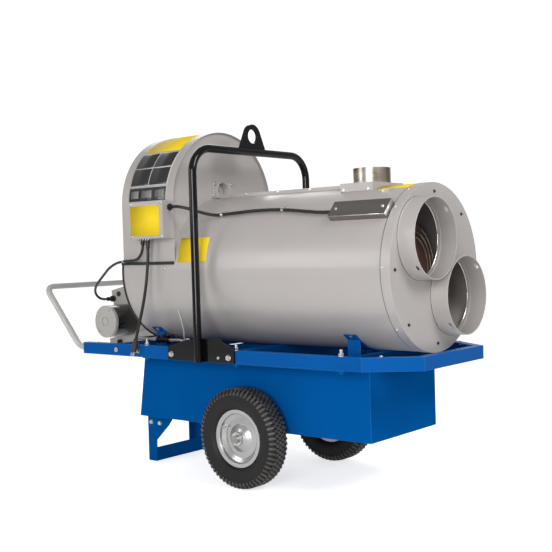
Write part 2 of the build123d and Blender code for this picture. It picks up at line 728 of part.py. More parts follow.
def lifting_eye():
    """A plate with a round head and a wide foot that sits over the crossbar."""
    foot = LIFT_Z + LIFT_R / 2
    drop, reach = EYE_Z - foot, EYE_FOOT_HALF
    tangent = atan2(drop, reach) + asin(EYE_R / hypot(drop, reach))
    touch = (EYE_R * sin(tangent), EYE_R * cos(tangent))
    outline = [(LIFT_X - EYE_T / 2, y, z) for y, z in (
        (-reach, foot), (reach, foot), (touch[0], EYE_Z + touch[1]), (-touch[0], EYE_Z + touch[1]))]
    body = prism(outline, (EYE_T, 0, 0))
    body = body + rod((LIFT_X - EYE_T / 2, 0, EYE_Z), (LIFT_X + EYE_T / 2, 0, EYE_Z), EYE_R)
    body = body - rod((LIFT_X - EYE_T, 0, EYE_Z), (LIFT_X + EYE_T, 0, EYE_Z), EYE_HOLE_R)
    return body - rod((LIFT_X, -LIFT_Y, LIFT_Z), (LIFT_X, LIFT_Y, LIFT_Z), LIFT_R + CURVE_GAP / 2)


def lifting_side_plates():
    plates = []
    for s in (-1, 1):
        y = min(s * DECK_HALF, s * (DECK_HALF + SIDE_PLATE_T))
        outline = [(SIDE_PLATE_REAR, y, DECK_Z - 1), (SIDE_PLATE_FRONT, y, DECK_Z - 1)]
        outline += [(x, y, DECK_TOP + rise) for x, rise in SIDE_PLATE_TOP]
        plate = prism(outline, (0, SIDE_PLATE_T, 0))
        holes = [bolt_hole(at, out, SIDE_PLATE_T) for at, out in side_bolts(s)]
        holes.append(bolt_hole(*side_pin(s), SIDE_PLATE_T, 3.0))
        plates.append(drilled(plate, *holes))
    return plates


def frame_bolts():
    """Studs, bolts, washers and cotter pins of the cart."""
    parts = []
    for x, y in hanger_studs():
        stud = rod((x, y, DECK_Z - HANGER_T - WELD_NUT_H + 1), (x, y, DECK_TOP + 26), 6.0)
        stud = stud + rod((x, y, DECK_TOP), (x, y, DECK_TOP + 2), 12.0)
        parts.append(stud + hexagon((x, y, DECK_TOP + 2), (0, 0, 1), 19.0, 10.0))
    parts += [bolt(at, out, RAIL_T, 4.0) for at, out in nose_bolts()]
    for s in (-1, 1):
        parts += [bolt(at, out, SIDE_PLATE_T + RAIL_T) for at, out in side_bolts(s)]
        parts.append(bolt(*side_pin(s), SIDE_PLATE_T + RAIL_T, 3.0))
        for at, out in handle_bolts(s):
            head = rod(at, beyond(at, out, 5), 10.5)
            parts.append(head + rod(at, beyond(at, out, -(DECK_HALF - HANDLE_HALF - 2)), 4.0))
        parts += [bolt(at, out, LEG_T, 5.0) for at, out in leg_bolts(s)]
        washer = s * (TRACK_HALF + HUB_HALF + CURVE_GAP)
        end = washer + s * WASHER_T
        parts.append(pipe((0, washer, AXLE_Z), (0, end, AXLE_Z), WASHER_R, AXLE_R + BOLT_GAP))
        pin_y = end + s * (COTTER_R + CURVE_GAP)
        parts.append(rod((0, pin_y, AXLE_Z - COTTER_L / 2), (0, pin_y, AXLE_Z + COTTER_L / 2), COTTER_R))
    for at, out in cradle_bolts():
        head = rod(at, beyond(at, out, 5), 8.5)
        parts.append(head + rod(at, beyond(at, out, -SADDLE_T - 10), 4.0))
    return parts


def shell_screws():
    """All the sheet metal screws of the drum, hood, controls and burner, and the motor mount's bolts."""
    spots = (rim_screws() + face_screws() + shell_side_screws() + strip_screws() + flue_base_screws()
             + lid_screws() + cover_screws() + end_cap_screws())
    bolts = [bolt(at, out, 20, 4.0, nut=False) for at, out in mount_bolts()]
    return [screw(at, out) for at, out in spots] + bolts


# ---------------------------------------------------------------- wheels
def wheel_axle():
    end = TRACK_HALF + HUB_HALF + CURVE_GAP + WASHER_T + AXLE_END
    axle = rod((0, -end, AXLE_Z), (0, end, AXLE_Z), AXLE_R)
    for s in (-1, 1):
        pin_y = s * (TRACK_HALF + HUB_HALF + 2 * CURVE_GAP + WASHER_T + COTTER_R)
        low, high = AXLE_Z - AXLE_R - 1, AXLE_Z + AXLE_R + 1
        axle = axle - rod((0, pin_y, low), (0, pin_y, high), COTTER_R + BOLT_GAP)
    return axle


def turned(profile, side):
    """A half section of (radius, outward) points, turned about the axle on one side."""
    face = make_face(Polyline(*[(r, s) for r, s in profile], close=True))
    solid = revolve(face, Axis.Y)
    return Pos(0, side * TRACK_HALF, AXLE_Z) * Rot(90 - 90 * side, 0, 0) * solid


def tyre(side):
    """A carcass with rounded walls and grooves round its tread."""
    belly = (RIM_FLANGE_R + TYRE_R) / 2
    shoulder = TYRE_R - 12
    bead = RIM_HALF - RIM_T - CURVE_GAP
    with BuildSketch() as section:
        with BuildLine():
            a = ThreePointArc((RIM_FLANGE_R + 1, RIM_HALF), (belly - 8, TYRE_HALF),
                              (shoulder, TREAD_HALF + 6))
            b = ThreePointArc(a @ 1, (TYRE_R - 3, TREAD_HALF), (TYRE_R, TREAD_HALF - 8))
            c = Line(b @ 1, (TYRE_R, -TREAD_HALF + 8))
            d = ThreePointArc(c @ 1, (TYRE_R - 3, -TREAD_HALF), (shoulder, -TREAD_HALF - 6))
            e = ThreePointArc(d @ 1, (belly - 8, -TYRE_HALF), (RIM_FLANGE_R + 1, -RIM_HALF))
            f = Polyline(e @ 1, (RIM_FLANGE_R + 1, -bead), (RIM_SEAT_R + CURVE_GAP, -bead),
                         (RIM_SEAT_R + CURVE_GAP, -bead + CARCASS_T), (belly - 8, -TYRE_HALF + CARCASS_T))
            g = ThreePointArc(f @ 1, (TYRE_R - CARCASS_T - TREAD_DEPTH, 0),
                              (belly - 8, TYRE_HALF - CARCASS_T))
            h = Line(g @ 1, (RIM_SEAT_R + CURVE_GAP, bead - CARCASS_T))
            Polyline(h @ 1, (RIM_SEAT_R + CURVE_GAP, bead), (RIM_FLANGE_R + 1, bead), a @ 0)
        make_face()
    body = revolve(section.sketch, Axis.Y)
    for k in range(TREAD_GROOVES):
        y = (k - (TREAD_GROOVES - 1) / 2) * TREAD_HALF * 1.5 / TREAD_GROOVES
        groove = rod((0, y - TREAD_GROOVE_W / 2, 0), (0, y + TREAD_GROOVE_W / 2, 0), TYRE_R + 1)
        core = rod((0, y - TREAD_GROOVE_W, 0), (0, y + TREAD_GROOVE_W, 0), TYRE_R - TREAD_DEPTH)
        body = body - (groove - core)
    return Pos(0, side * TRACK_HALF, AXLE_Z) * body


def rim(side):
    """A pressed steel rim: barrel, two flanges, dished disc, hub tube and valve stem."""
    seat = RIM_SEAT_R
    outer = [(seat, -RIM_HALF), (RIM_FLANGE_R, -RIM_HALF), (RIM_FLANGE_R, -RIM_HALF + RIM_T),
             (seat, -RIM_HALF + RIM_T), (seat, RIM_HALF - RIM_T), (RIM_FLANGE_R, RIM_HALF - RIM_T),
             (RIM_FLANGE_R, RIM_HALF), (seat, RIM_HALF), (seat - RIM_T, RIM_HALF - RIM_T),
             (seat - RIM_T, -RIM_HALF + RIM_T)]
    face = RIM_HALF - DISH_DEPTH
    disc = [(HUB_R - 1, HUB_HALF - 8), (HUB_R + 12, HUB_HALF - 14), (VALVE_R - 34, face),
            (VALVE_R - 10, face - 2), (seat - RIM_T + 1, face + 6), (seat - RIM_T + 1, face + 6 - RIM_T),
            (VALVE_R - 10, face - 2 - RIM_T), (VALVE_R - 35, face - RIM_T),
            (HUB_R + 10, HUB_HALF - 14 - RIM_T), (HUB_R - 1, HUB_HALF - 9 - RIM_T)]
    bore = AXLE_R + RUN_GAP
    hub = [(bore, -HUB_HALF), (HUB_R - 5, -HUB_HALF), (HUB_R, -HUB_HALF + 5), (HUB_R, HUB_HALF - 4),
           (HUB_R - 4, HUB_HALF), (bore, HUB_HALF)]
    body = turned(outer, side) + turned(disc, side) + turned(hub, side)
    x, z = -82.0 / 91.0 * VALVE_R, 39.0 / 91.0 * VALVE_R
    y = side * (TRACK_HALF + face - 2 * RIM_T)
    return body + rod((x, y, AXLE_Z + z), (x, y + side * VALVE_STEM_L, AXLE_Z + z), VALVE_STEM_R)


# ---------------------------------------------------------------- drum
def body_shell():
    """A round shell, cut open above the joint where the hood stands on it."""
    inner = DRUM_R - SHEET_T
    full = pipe((SHELL_JOIN, 0, DRUM_Z), (CAP_FACE - SHEET_T, 0, DRUM_Z), DRUM_R, inner)
    lower = pipe((SHELL_REAR, 0, DRUM_Z), (SHELL_JOIN, 0, DRUM_Z), DRUM_R, inner)
    lower = lower & block(SHELL_REAR, SHELL_JOIN, -DRUM_R, DRUM_R, DRUM_Z - DRUM_R - 1, JOINT_Z)
    flue = rod((FLUE_X, 0, DRUM_Z), (FLUE_X, 0, DRUM_Z + DRUM_R + 1), FLUE_DUCT_R + 3)
    holes = [screw_hole(at, out) for at, out in rim_screws() + shell_side_screws()]
    holes += [rod(at, beyond(at, out, -SADDLE_T - 6), 4 + BOLT_GAP) for at, out in cradle_bolts()]
    return drilled(full + lower - flue, *holes)


def front_end_cap():
    rim_r = DRUM_R + CAP_SLACK + SHEET_T
    body = drum_rod(CAP_FACE - SHEET_T, CAP_FACE, rim_r)
    rim = ((CAP_FACE - CAP_RIM_W, 0, DRUM_Z), (CAP_FACE - SHEET_T, 0, DRUM_Z))
    body = body + pipe(*rim, rim_r, rim_r - SHEET_T)
    for y, z in COLLARS.values():
        body = body - rod((CAP_FACE - 5, y, z), (CAP_FACE + 5, y, z), COLLAR_R - COLLAR_STEP + BOLT_GAP)
    return drilled(body, *[screw_hole(at, out) for at, out in rim_screws() + face_screws()])


def outlet_collar(name):
    """A round collar with a bead on the cap, a hem at its mouth and two slots for a duct's fixings."""
    y, z = COLLARS[name]
    end = CAP_FACE + COLLAR_OUT
    step = CAP_FACE + BEAD_W / 2
    neck_r = COLLAR_R - COLLAR_STEP
    body = pipe((CAP_FACE - COLLAR_IN, y, z), (step, y, z), neck_r, neck_r - SHEET_T)
    body = body + pipe((step, y, z), (end, y, z), COLLAR_R, COLLAR_R - SHEET_T)
    body = body + pipe((CAP_FACE, y, z), (CAP_FACE + BEAD_W, y, z), COLLAR_R + BEAD_W, COLLAR_R - SHEET_T)
    body = body + pipe((end - COLLAR_HEM, y, z), (end, y, z), COLLAR_R, COLLAR_R - COLLAR_HEM)
    for angle in (-45, 135):
        seat = Pos(end - 17, y, z) * Rot(angle, 0, 0)
        for shift in (-1, 1):
            body = body - seat * Pos(0, shift * (SLOT_L / 2 - SLOT_R), COLLAR_R) * Cylinder(SLOT_R, 30)
        body = body - seat * Pos(0, 0, COLLAR_R) * Box(2 * SLOT_R, SLOT_L - 2 * SLOT_R, 30)
    return body


def top_seam_strip():
    """A hat strip along the top of the drum, from the hood to the flue base."""
    x0, x1 = FRONT_PLATE_X + MOUNT_T, FLUE_X - FLUE_BASE_L / 2
    body = block(x0, x1, -STRIP_HALF, STRIP_HALF, DRUM_Z + DRUM_R - 6, STRIP_Z)
    body = body - block(x0 + STRIP_T, x1 - STRIP_T, -STRIP_HALF + STRIP_T, STRIP_HALF - STRIP_T,
                        DRUM_Z + DRUM_R - 7, STRIP_Z - STRIP_T)
    body = body - drum_rod(x0 - 1, x1 + 1, DRUM_R + CURVE_GAP)
    return drilled(body, *[screw_hole(at, out) for at, out in strip_screws()])


def edge_trim():
    """Rubber edging along the hood joint and down round the rear edge of the shell."""
    edge = (SHELL_REAR, 0, DRUM_Z)
    ring = pipe(beyond(edge, (-1, 0, 0), TRIM_LIP), edge, DRUM_R + TRIM_OUT - 1, DRUM_R - 5)
    body = ring & block(SHELL_REAR - TRIM_LIP, SHELL_REAR, -DRUM_R - TRIM_OUT, DRUM_R + TRIM_OUT,
                        DRUM_Z - DRUM_R - TRIM_OUT, JOINT_Z)
    for s in (-1, 1):
        y0, y1 = sorted((s * (DRUM_R - 3.5), s * (DRUM_R + TRIM_OUT)))
        body = body + block(SHELL_REAR - TRIM_LIP, TRIM_FRONT, y0, y1, JOINT_Z, HOOD_BASE)
    return body - drum_rod(SHELL_JOIN, TRIM_FRONT + 1, DRUM_R + CURVE_GAP)


# ---------------------------------------------------------------- hood and fan
def hood_shape(x0, x1, inward, base):
    """The arch's outline as a solid, set inwards by a distance."""
    half = HOOD_HALF - inward
    arch = rod((x0, 0, HOOD_Z), (x1, 0, HOOD_Z), half) & block(x0, x1, -half, half, HOOD_Z, HOOD_Z + half)
    return block(x0, x1, -half, half, base, HOOD_Z) + arch


def fan_hood_band():
    body = hood_shape(HOOD_REAR, HOOD_FRONT, 0, HOOD_BASE)
    body = body - hood_shape(HOOD_REAR + HOOD_HEM_W - 2, HOOD_FRONT - HOOD_HEM_W, SHEET_T, HOOD_BASE - 1)
    body = body - hood_shape(HOOD_REAR - 1, HOOD_FRONT + 1, HOOD_HEM, HOOD_BASE - 1)
    return body - drum_rod(SHELL_JOIN - 1, HOOD_FRONT + 1, DRUM_R + CURVE_GAP)


def hood_front_plate():
    x = FRONT_PLATE_X
    body = hood_shape(x - SHEET_T, x, SHEET_T + CURVE_GAP, HOOD_BASE + TRIM_H)
    body = body - drum_rod(x - 5, x + 5, DRUM_R + CURVE_GAP)
    body = body - rod((x - 5, 0, FAN_Z), (x + 5, 0, FAN_Z), MOUNT_HOLE_R)
    return drilled(body, *[bolt_hole(at, out, MOUNT_T + SHEET_T, 4.0) for at, out in mount_bolts()])


def motor_mount():
    """A plate that widens to its foot on the drum, with a round hole in front of the motor's cup."""
    x = FRONT_PLATE_X
    corners = ((-MOUNT_FOOT, -MOUNT_DOWN), (MOUNT_FOOT, -MOUNT_DOWN),
               (MOUNT_HEAD, MOUNT_UP), (-MOUNT_HEAD, MOUNT_UP))
    body = prism([(x, y, FAN_Z + z) for y, z in corners], (MOUNT_T, 0, 0))
    body = body - rod((x - 1, 0, FAN_Z), (x + MOUNT_T + 1, 0, FAN_Z), MOUNT_HOLE_R)
    body = body - drum_rod(x - 1, x + MOUNT_T + 1, DRUM_R + CURVE_GAP)
    return drilled(body, *[bolt_hole(at, out, MOUNT_T, 4.0) for at, out in mount_bolts()])


def fan_motor():
    face = FRONT_PLATE_X - SHEET_T
    rear = face - FAN_MOTOR_L
    floor = face - MOTOR_CUP_L
    body = rod((rear, 0, FAN_Z), (face, 0, FAN_Z), FAN_MOTOR_R)
    body = body - rod((floor, 0, FAN_Z), (face + 1, 0, FAN_Z), MOTOR_CUP_R)
    body = body + rod((floor - 1, 0, FAN_Z), (floor + MOTOR_CUP_L / 2, 0, FAN_Z), MOTOR_BOSS_R)
    body = body - rod((rear - 1, 0, FAN_Z), (rear + FAN_SHAFT_IN, 0, FAN_Z), FAN_SHAFT_R + RUN_GAP)
    return drilled(body, *[rod(at, beyond(at, out, -24), 4 + BOLT_GAP) for at, out in mount_bolts()])


def fan_rotor():
    """A hub with pitched blades, on its shaft."""
    hub_end = FAN_X + FAN_HUB_L / 2
    rear = FRONT_PLATE_X - SHEET_T - FAN_MOTOR_L
    body = rod((FAN_X - FAN_HUB_L / 2, 0, FAN_Z), (hub_end, 0, FAN_Z), FAN_HUB_R)
    body = body + rod((hub_end, 0, FAN_Z), (rear + FAN_SHAFT_IN - 2, 0, FAN_Z), FAN_SHAFT_R)
    span = FAN_R - FAN_HUB_R + 6
    for k in range(FAN_BLADES):
        turn = Pos(FAN_X, 0, FAN_Z) * Rot(360 / FAN_BLADES * k, 0, 0)
        blade = Box(FAN_CHORD * 0.6, FAN_BLADE_T, span)
        body = body + turn * Pos(0, 0, FAN_HUB_R - 6 + span / 2) * Rot(0, 0, 90 - FAN_PITCH) * blade
    return body


def hood_rear_panel():
    """The hood's back, with a round inlet and a ring round the fan."""
    x = REAR_PANEL_X
    half = DRUM_R - 4.0
    body = hood_shape(x, x + SHEET_T, SHEET_T + CURVE_GAP, HOOD_BASE)
    body = body + block(x, x + SHEET_T, -half, half, HOOD_BASE - TRIM_H / 2, HOOD_BASE + 2)
    body = body + pipe((x, 0, FAN_Z), (x + ORIFICE_DEPTH, 0, FAN_Z), ORIFICE_R + SHEET_T, ORIFICE_R)
    return body - rod((x - 1, 0, FAN_Z), (x + ORIFICE_DEPTH + 1, 0, FAN_Z), ORIFICE_R)


def inlet_guard():
    """Rings and spokes over the inlet."""
    x0, x1 = REAR_PANEL_X - GUARD_T, REAR_PANEL_X
    rim_r = ORIFICE_R + 10
    body = pipe((x0, 0, FAN_Z), (x1, 0, FAN_Z), rim_r, ORIFICE_R - 2)
    for k in range(GUARD_RINGS):
        r = ORIFICE_R * (k + 1) / (GUARD_RINGS + 1)
        body = body + pipe((x0, 0, FAN_Z), (x1, 0, FAN_Z), r + GUARD_T / 2, r - GUARD_T / 2)
    inner = ORIFICE_R / (GUARD_RINGS + 1)
    for k in range(GUARD_SPOKES):
        turn = Pos((x0 + x1) / 2, 0, FAN_Z) * Rot(360 / GUARD_SPOKES * k, 0, 0)
        body = body + turn * Pos(0, 0, (inner + ORIFICE_R) / 2) * Box(GUARD_T, GUARD_T, ORIFICE_R - inner)
    return body


def lower_rear_panel():
    x = REAR_PANEL_X
    body = drum_rod(x, x + SHEET_T, DRUM_R - SHEET_T - CURVE_GAP)
    body = body & block(x, x + SHEET_T, -DRUM_R, DRUM_R, DRUM_Z - DRUM_R, HOOD_BASE - TRIM_H / 2)
    return body - BURNER * blast_rod(150, BLAST_END, BLAST_R + THROAT_GAP)


# ---------------------------------------------------------------- chamber and flue
def blast_rod(x0, x1, radius):
    """A round bar along the burner's tilted blast tube."""
    return rod((x0, BLAST_Y, BLAST_RISE), (x1, BLAST_Y, BLAST_RISE), radius)


def combustion_chamber():
    """A closed drum with a burner throat, a flue duct and feet that hold it in the shell."""
    t = CHAMBER_T
    throat = BURNER * blast_rod(THROAT_START, BLAST_END - 20, BLAST_R + THROAT_GAP + t)
    duct = rod((FLUE_X, 0, DRUM_Z), (FLUE_X, 0, STRIP_Z + FLUE_H / 3), FLUE_DUCT_R)
    body = drum_rod(CHAMBER_REAR, CHAMBER_FRONT, CHAMBER_R) + throat + duct
    body = body - drum_rod(CHAMBER_REAR + t, CHAMBER_FRONT - t, CHAMBER_R - t)
    body = body - BURNER * blast_rod(THROAT_START - 25, BLAST_END, BLAST_R + THROAT_GAP)
    body = body - rod((FLUE_X, 0, DRUM_Z), (FLUE_X, 0, FLUE_Z), FLUE_DUCT_R - t)
    hold = drum_rod(CHAMBER_REAR, CHAMBER_FRONT, DRUM_R - SHEET_T - CURVE_GAP)
    reach = DRUM_R - CHAMBER_R
    for x, angles in ((-450.0, (-30, 210)), (250.0, (-30, 90, 210))):
        for angle in angles:
            foot = Pos(x, 0, 0) * on_drum(angle) * Pos(0, 0, CHAMBER_R - 1 + reach / 2) * Box(30, 3, reach)
            body = body + (foot & hold)
    return body


def flue_base():
    x0, x1 = FLUE_X - FLUE_BASE_L / 2, FLUE_X + FLUE_BASE_L / 2
    half, t = FLUE_BASE_HALF, STRIP_T
    body = block(x0, x1, -half, half, DRUM_Z + DRUM_R - 50, STRIP_Z)
    body = body - block(x0 + t, x1 - t, -half + t, half - t, DRUM_Z + DRUM_R - 51, STRIP_Z - t)
    body = body - drum_rod(x0 - 1, x1 + 1, DRUM_R + CURVE_GAP)
    body = body - rod((FLUE_X, 0, STRIP_Z - 5), (FLUE_X, 0, STRIP_Z + 1), FLUE_R - NECK_STEP + BOLT_GAP)
    return drilled(body, *[screw_hole(at, out) for at, out in flue_base_screws()])


def flue_collar():
    """The chimney stub: a neck through the base, a lip on it and a hem turned inwards at the mouth."""
    lip = STRIP_Z + FLUE_LIP_T
    body = pipe((FLUE_X, 0, STRIP_Z - 10), (FLUE_X, 0, lip - 0.5), FLUE_R - NECK_STEP, FLUE_R - 2 * FLUE_T)
    body = body + pipe((FLUE_X, 0, STRIP_Z), (FLUE_X, 0, lip), FLUE_R + FLUE_LIP_T, FLUE_R - 2 * FLUE_T)
    body = body + pipe((FLUE_X, 0, lip), (FLUE_X, 0, FLUE_Z), FLUE_R, FLUE_R - FLUE_T)
    return body + pipe((FLUE_X, 0, FLUE_Z - 3), (FLUE_X, 0, FLUE_Z), FLUE_R, FLUE_R - 2 * FLUE_T)


def limit_switch_cover():
    """A folded cover over the limit switches, on the drum's shoulder."""
    half, t = COVER_W / 2, COVER_T
    top = DRUM_R + COVER_OUT
    body = block(COVER_X[0], COVER_X[1], -half, half, DRUM_R - 12, top)
    body = body - block(COVER_X[0] + t, COVER_X[1] - t, -half + t, half - t, DRUM_R - 13, top - t)
    body = body - rod((COVER_X[0] - 1, 0, 0), (COVER_X[1] + 1, 0, 0), DRUM_R + CURVE_GAP)
    body = on_drum(COVER_ANGLE) * body
    x, y, z = SENSOR_ROUTE[-1]
    body = body - rod((x - 20, y, z), (x + 1, y, z), SENSOR_R + 2 * CURVE_GAP)
    return drilled(body, *[screw_hole(at, out) for at, out in cover_screws()])


# ---------------------------------------------------------------- burner
def hollow(x0, x1, y0, y1, z0, z1, t):
    return block(x0, x1, y0, y1, z0, z1) - block(x0 + t, x1 - t, y0 + t, y1 - t, z0 + t, z1 - t)


def burner_housing():
    body = hollow(*HOUSING_X, MOTOR_FACE_Y, HOUSING_FAR, *HOUSING_Z, HOUSING_T)
    body = body - rod((0, MOTOR_FACE_Y - 1, 0), (0, MOTOR_FACE_Y + HOUSING_T + 1, 0), ROTOR_R + 1)
    return BURNER * (body - blast_rod(HOUSING_X[1] - 5, HOUSING_X[1] + 1, BLAST_R - BLAST_T - 2))


def burner_intake_box():
    """A sheet box under the housing, with a level floor."""
    t = HOUSING_T
    x0, x1 = INTAKE_X
    outer = BURNER * block(x0, x1, BOX_FACE_Y, HOUSING_FAR, -200, HOUSING_Z[0])
    inner = BURNER * block(x0 + t, x1 - t, BOX_FACE_Y + t, HOUSING_FAR - t, -200, HOUSING_Z[0] - t)
    span = x1 - x0
    below = block(BURNER_X - span, BURNER_X + span, -span, span, INTAKE_FLOOR - span, INTAKE_FLOOR)
    below_inner = block(BURNER_X - span, BURNER_X + span, -span, span, INTAKE_FLOOR - span, INTAKE_FLOOR + t)
    body = (outer - below) - (inner - below_inner)
    return body - rod((KNOB_AT[0], BOX_FACE_Y - 1, KNOB_AT[1]), (KNOB_AT[0], BOX_FACE_Y + t + 1, KNOB_AT[1]),
                      KNOB_STEM_R + RUN_GAP)


def ignition_box():
    z0 = HOUSING_Z[1]
    body = hollow(IGNITION_X[0], IGNITION_X[1], BOX_FACE_Y, IGNITION_FAR, z0, z0 + IGNITION_H, HOUSING_T)
    x, z = BUTTON_AT
    hole = rod((x, BOX_FACE_Y - 1, z), (x, BOX_FACE_Y + HOUSING_T + 1, z), BUTTON_R + RUN_GAP)
    return BURNER * (body - hole)


def reset_button():
    x, z = BUTTON_AT
    body = rod((x, BOX_FACE_Y - BUTTON_OUT, z), (x, BOX_FACE_Y + HOUSING_T + 6, z), BUTTON_R)
    return BURNER * body


def air_damper_knob():
    x, z = KNOB_AT
    body = rod((x, BOX_FACE_Y - CURVE_GAP - KNOB_L, z), (x, BOX_FACE_Y - CURVE_GAP, z), KNOB_R)
    y, r = BOX_FACE_Y - KNOB_L, KNOB_R - 1
    body = body + block(x - 2.5, x + 2.5, y - 5, y, z - r, z + r)
    return body + rod((x, BOX_FACE_Y - CURVE_GAP - 1, z), (x, BOX_FACE_Y + 12, z), KNOB_STEM_R)


def burner_motor():
    body = rod((0, MOTOR_END_Y, 0), (0, MOTOR_FACE_Y, 0), MOTOR_R)
    room = rod((0, MOTOR_FACE_Y - ROTOR_DEPTH, 0), (0, MOTOR_FACE_Y + 1, 0), ROTOR_R + RUN_GAP)
    return BURNER * (body - room)


def burner_end_cap():
    """The motor's end bell, with a ring pressed round its middle."""
    face = MOTOR_END_Y - END_CAP_T
    body = rod((0, face, 0), (0, MOTOR_END_Y, 0), MOTOR_R)
    body = body - pipe((0, face - 1, 0), (0, face + 3, 0), 24, 18)
    body = body - pipe((0, face - 1, 0), (0, face + 1.5, 0), MOTOR_R + 1, MOTOR_R - 3)
    holes = [screw_hole(at, out) for at, out in end_cap_screws()]
    return drilled(BURNER * body, *holes)


def burner_rotor():
    body = rod((0, MOTOR_FACE_Y - ROTOR_DEPTH + 2, 0), (0, HOUSING_FAR - HOUSING_T - 4, 0), ROTOR_R)
    body = body + rod((0, -4, 0), (0, 0, 0), WHEEL_R) + pipe((0, 30, 0), (0, 34, 0), WHEEL_R, WHEEL_R - 10)
    for k in range(20):
        a = radians(18 * k)
        blade = block(-4, 4, -1, 31, -1, 1)
        body = body + Pos((WHEEL_R - 5) * cos(a), 0, (WHEEL_R - 5) * sin(a)) * Rot(0, -18 * k + 40, 0) * blade
    return BURNER * body


def blast_tube():
    """The tube into the chamber, its mounting flange, and the nozzle behind a slotted plate."""
    body = blast_rod(HOUSING_X[1], BLAST_END, BLAST_R)
    body = body - blast_rod(HOUSING_X[1] - 1, BLAST_END + 1, BLAST_R - BLAST_T)
    plate = blast_rod(BLAST_END - 30, BLAST_END - 28, BLAST_R - 1)
    for k in range(4):
        seat = Pos(BLAST_END - 29, BLAST_Y, BLAST_RISE) * Rot(45 + 90 * k, 0, 0)
        slot = seat * Pos(0, 0, 30) * Box(5, 8, 18)
        plate = plate - slot
    body = BURNER * (body + plate + blast_rod(BLAST_END - 60, BLAST_END - 24, 10))
    x = REAR_PANEL_X
    t = radians(BURNER_TILT)
    mid = BURNER_Z + (x - BURNER_X) * tan(t) + BLAST_RISE / cos(t)
    flange = block(x - 6, x, BLAST_Y - 80, BLAST_Y + 80, mid - 80, mid + 80)
    return body + (flange - BURNER * blast_rod(150, BLAST_END, BLAST_R - 1))


def fuel_pump():
    body = rod((BURNER_X, HOUSING_FAR, BURNER_Z), (BURNER_X, HOUSING_FAR + PUMP_L, BURNER_Z), PUMP_R)
    body = body + rod((BURNER_X, LINE_FAR, BURNER_Z), (BURNER_X, LINE_FAR, BURNER_Z - PUMP_R - 8), 9)
    face = (BURNER_X + 18, HOUSING_FAR + PUMP_L, BURNER_Z)
    return body + rod(face, beyond(face, (0, 1, 0), 10), 8)


# ---------------------------------------------------------------- fuel line
def fuel_pipes():
    """The pick-up pipe out of the tank, the line to the filter and the feed to the pump."""
    pickup = FilletPolyline((PICKUP_X, FUEL_Y, TANK_Z + 17), (PICKUP_X, FUEL_Y, FUEL_Z),
                            (VALVE_X[1], FUEL_Y, FUEL_Z), radius=22)
    ends = [FILTER_X + s * (FILTER_L / 2 + FILTER_NUT) for s in (1, -1)]
    line = FilletPolyline((VALVE_X[0], FUEL_Y, FUEL_Z), (LINE_X, FUEL_Y, FUEL_Z), (LINE_X, LINE_FAR, FUEL_Z),
                          (ends[0], LINE_FAR, FUEL_Z), radius=14)
    feed = FilletPolyline((ends[1], LINE_FAR, FUEL_Z), (BURNER_X, LINE_FAR, FUEL_Z),
                          (BURNER_X, LINE_FAR, BURNER_Z - PUMP_R - 8), radius=14)
    return [swept(pickup, PIPE_R, PIPE_R - PIPE_T)] + [swept(run, LINE_R, LINE_R - 1) for run in (line, feed)]


def fuel_valve_body():
    body = rod((VALVE_X[0], FUEL_Y, FUEL_Z), (VALVE_X[1], FUEL_Y, FUEL_Z), FUEL_VALVE_R)
    for x in VALVE_X:
        end = x + (10 if x == VALVE_X[0] else -10)
        body = body + hexagon((min(x, end), FUEL_Y, FUEL_Z), (1, 0, 0), 2 * FUEL_VALVE_R + 3, 10)
    body = body + rod((LEVER_X, FUEL_Y, FUEL_Z), (LEVER_X, FUEL_Y, FUEL_Z + FUEL_VALVE_R + 6), 9)
    return body + rod((LEVER_X, FUEL_Y, FUEL_Z), (LEVER_X, FUEL_Y, FUEL_Z + FUEL_VALVE_R + 14), 4)


def fuel_valve_lever():
    z = FUEL_Z + FUEL_VALVE_R + 6 + CURVE_GAP
    body = rod((LEVER_X, FUEL_Y, z), (LEVER_X, FUEL_Y, z + 6), 11)
    body = body + block(LEVER_X, LEVER_X + LEVER_L, FUEL_Y - 6, FUEL_Y + 6, z, z + 4)
    return body - rod((LEVER_X, FUEL_Y, z - 1), (LEVER_X, FUEL_Y, z + 7), 4 + RUN_GAP)


def fuel_filter():
    x0, x1 = FILTER_X - FILTER_L / 2, FILTER_X + FILTER_L / 2
    body = rod((x0, LINE_FAR, FUEL_Z), (x1, LINE_FAR, FUEL_Z), FILTER_R)
    body = body + hexagon((x1, LINE_FAR, FUEL_Z), (1, 0, 0), 18, FILTER_NUT)
    return body + hexagon((x0, LINE_FAR, FUEL_Z), (-1, 0, 0), 18, FILTER_NUT)


# ---------------------------------------------------------------- controls
def control_box():
    y0 = CONTROL_Y
    body = block(CONTROL_X[0], CONTROL_X[1], y0, -HOOD_HALF, CONTROL_Z, CONTROL_Z + CONTROL_H)
    body = body - block(CONTROL_X[0] + SHEET_T, CONTROL_X[1] - SHEET_T, y0 - 1, -HOOD_HALF - SHEET_T,
                        CONTROL_Z + SHEET_T, CONTROL_Z + CONTROL_H - SHEET_T)
    return body - rod((CONTROL_X[0] - 1, SWITCH_Y, SWITCH_Z), (CONTROL_X[0] + 5, SWITCH_Y, SWITCH_Z), 7)


def control_box_lid():
    body = block(CONTROL_X[0], CONTROL_X[1], CONTROL_Y - LID_T, CONTROL_Y, CONTROL_Z, CONTROL_Z + CONTROL_H)
    body = fillet(body.edges().filter_by(Axis.Y), 4)
    for at, out in lid_screws():
        body = body - rod(at, beyond(at, out, 3), 7)
    return drilled(body, *[screw_hole(at, out) for at, out in lid_screws()])


SWITCH_Y = -HOOD_HALF - 28
SWITCH_Z = CONTROL_Z + 118
SWITCH_X = CONTROL_X[0] - 6


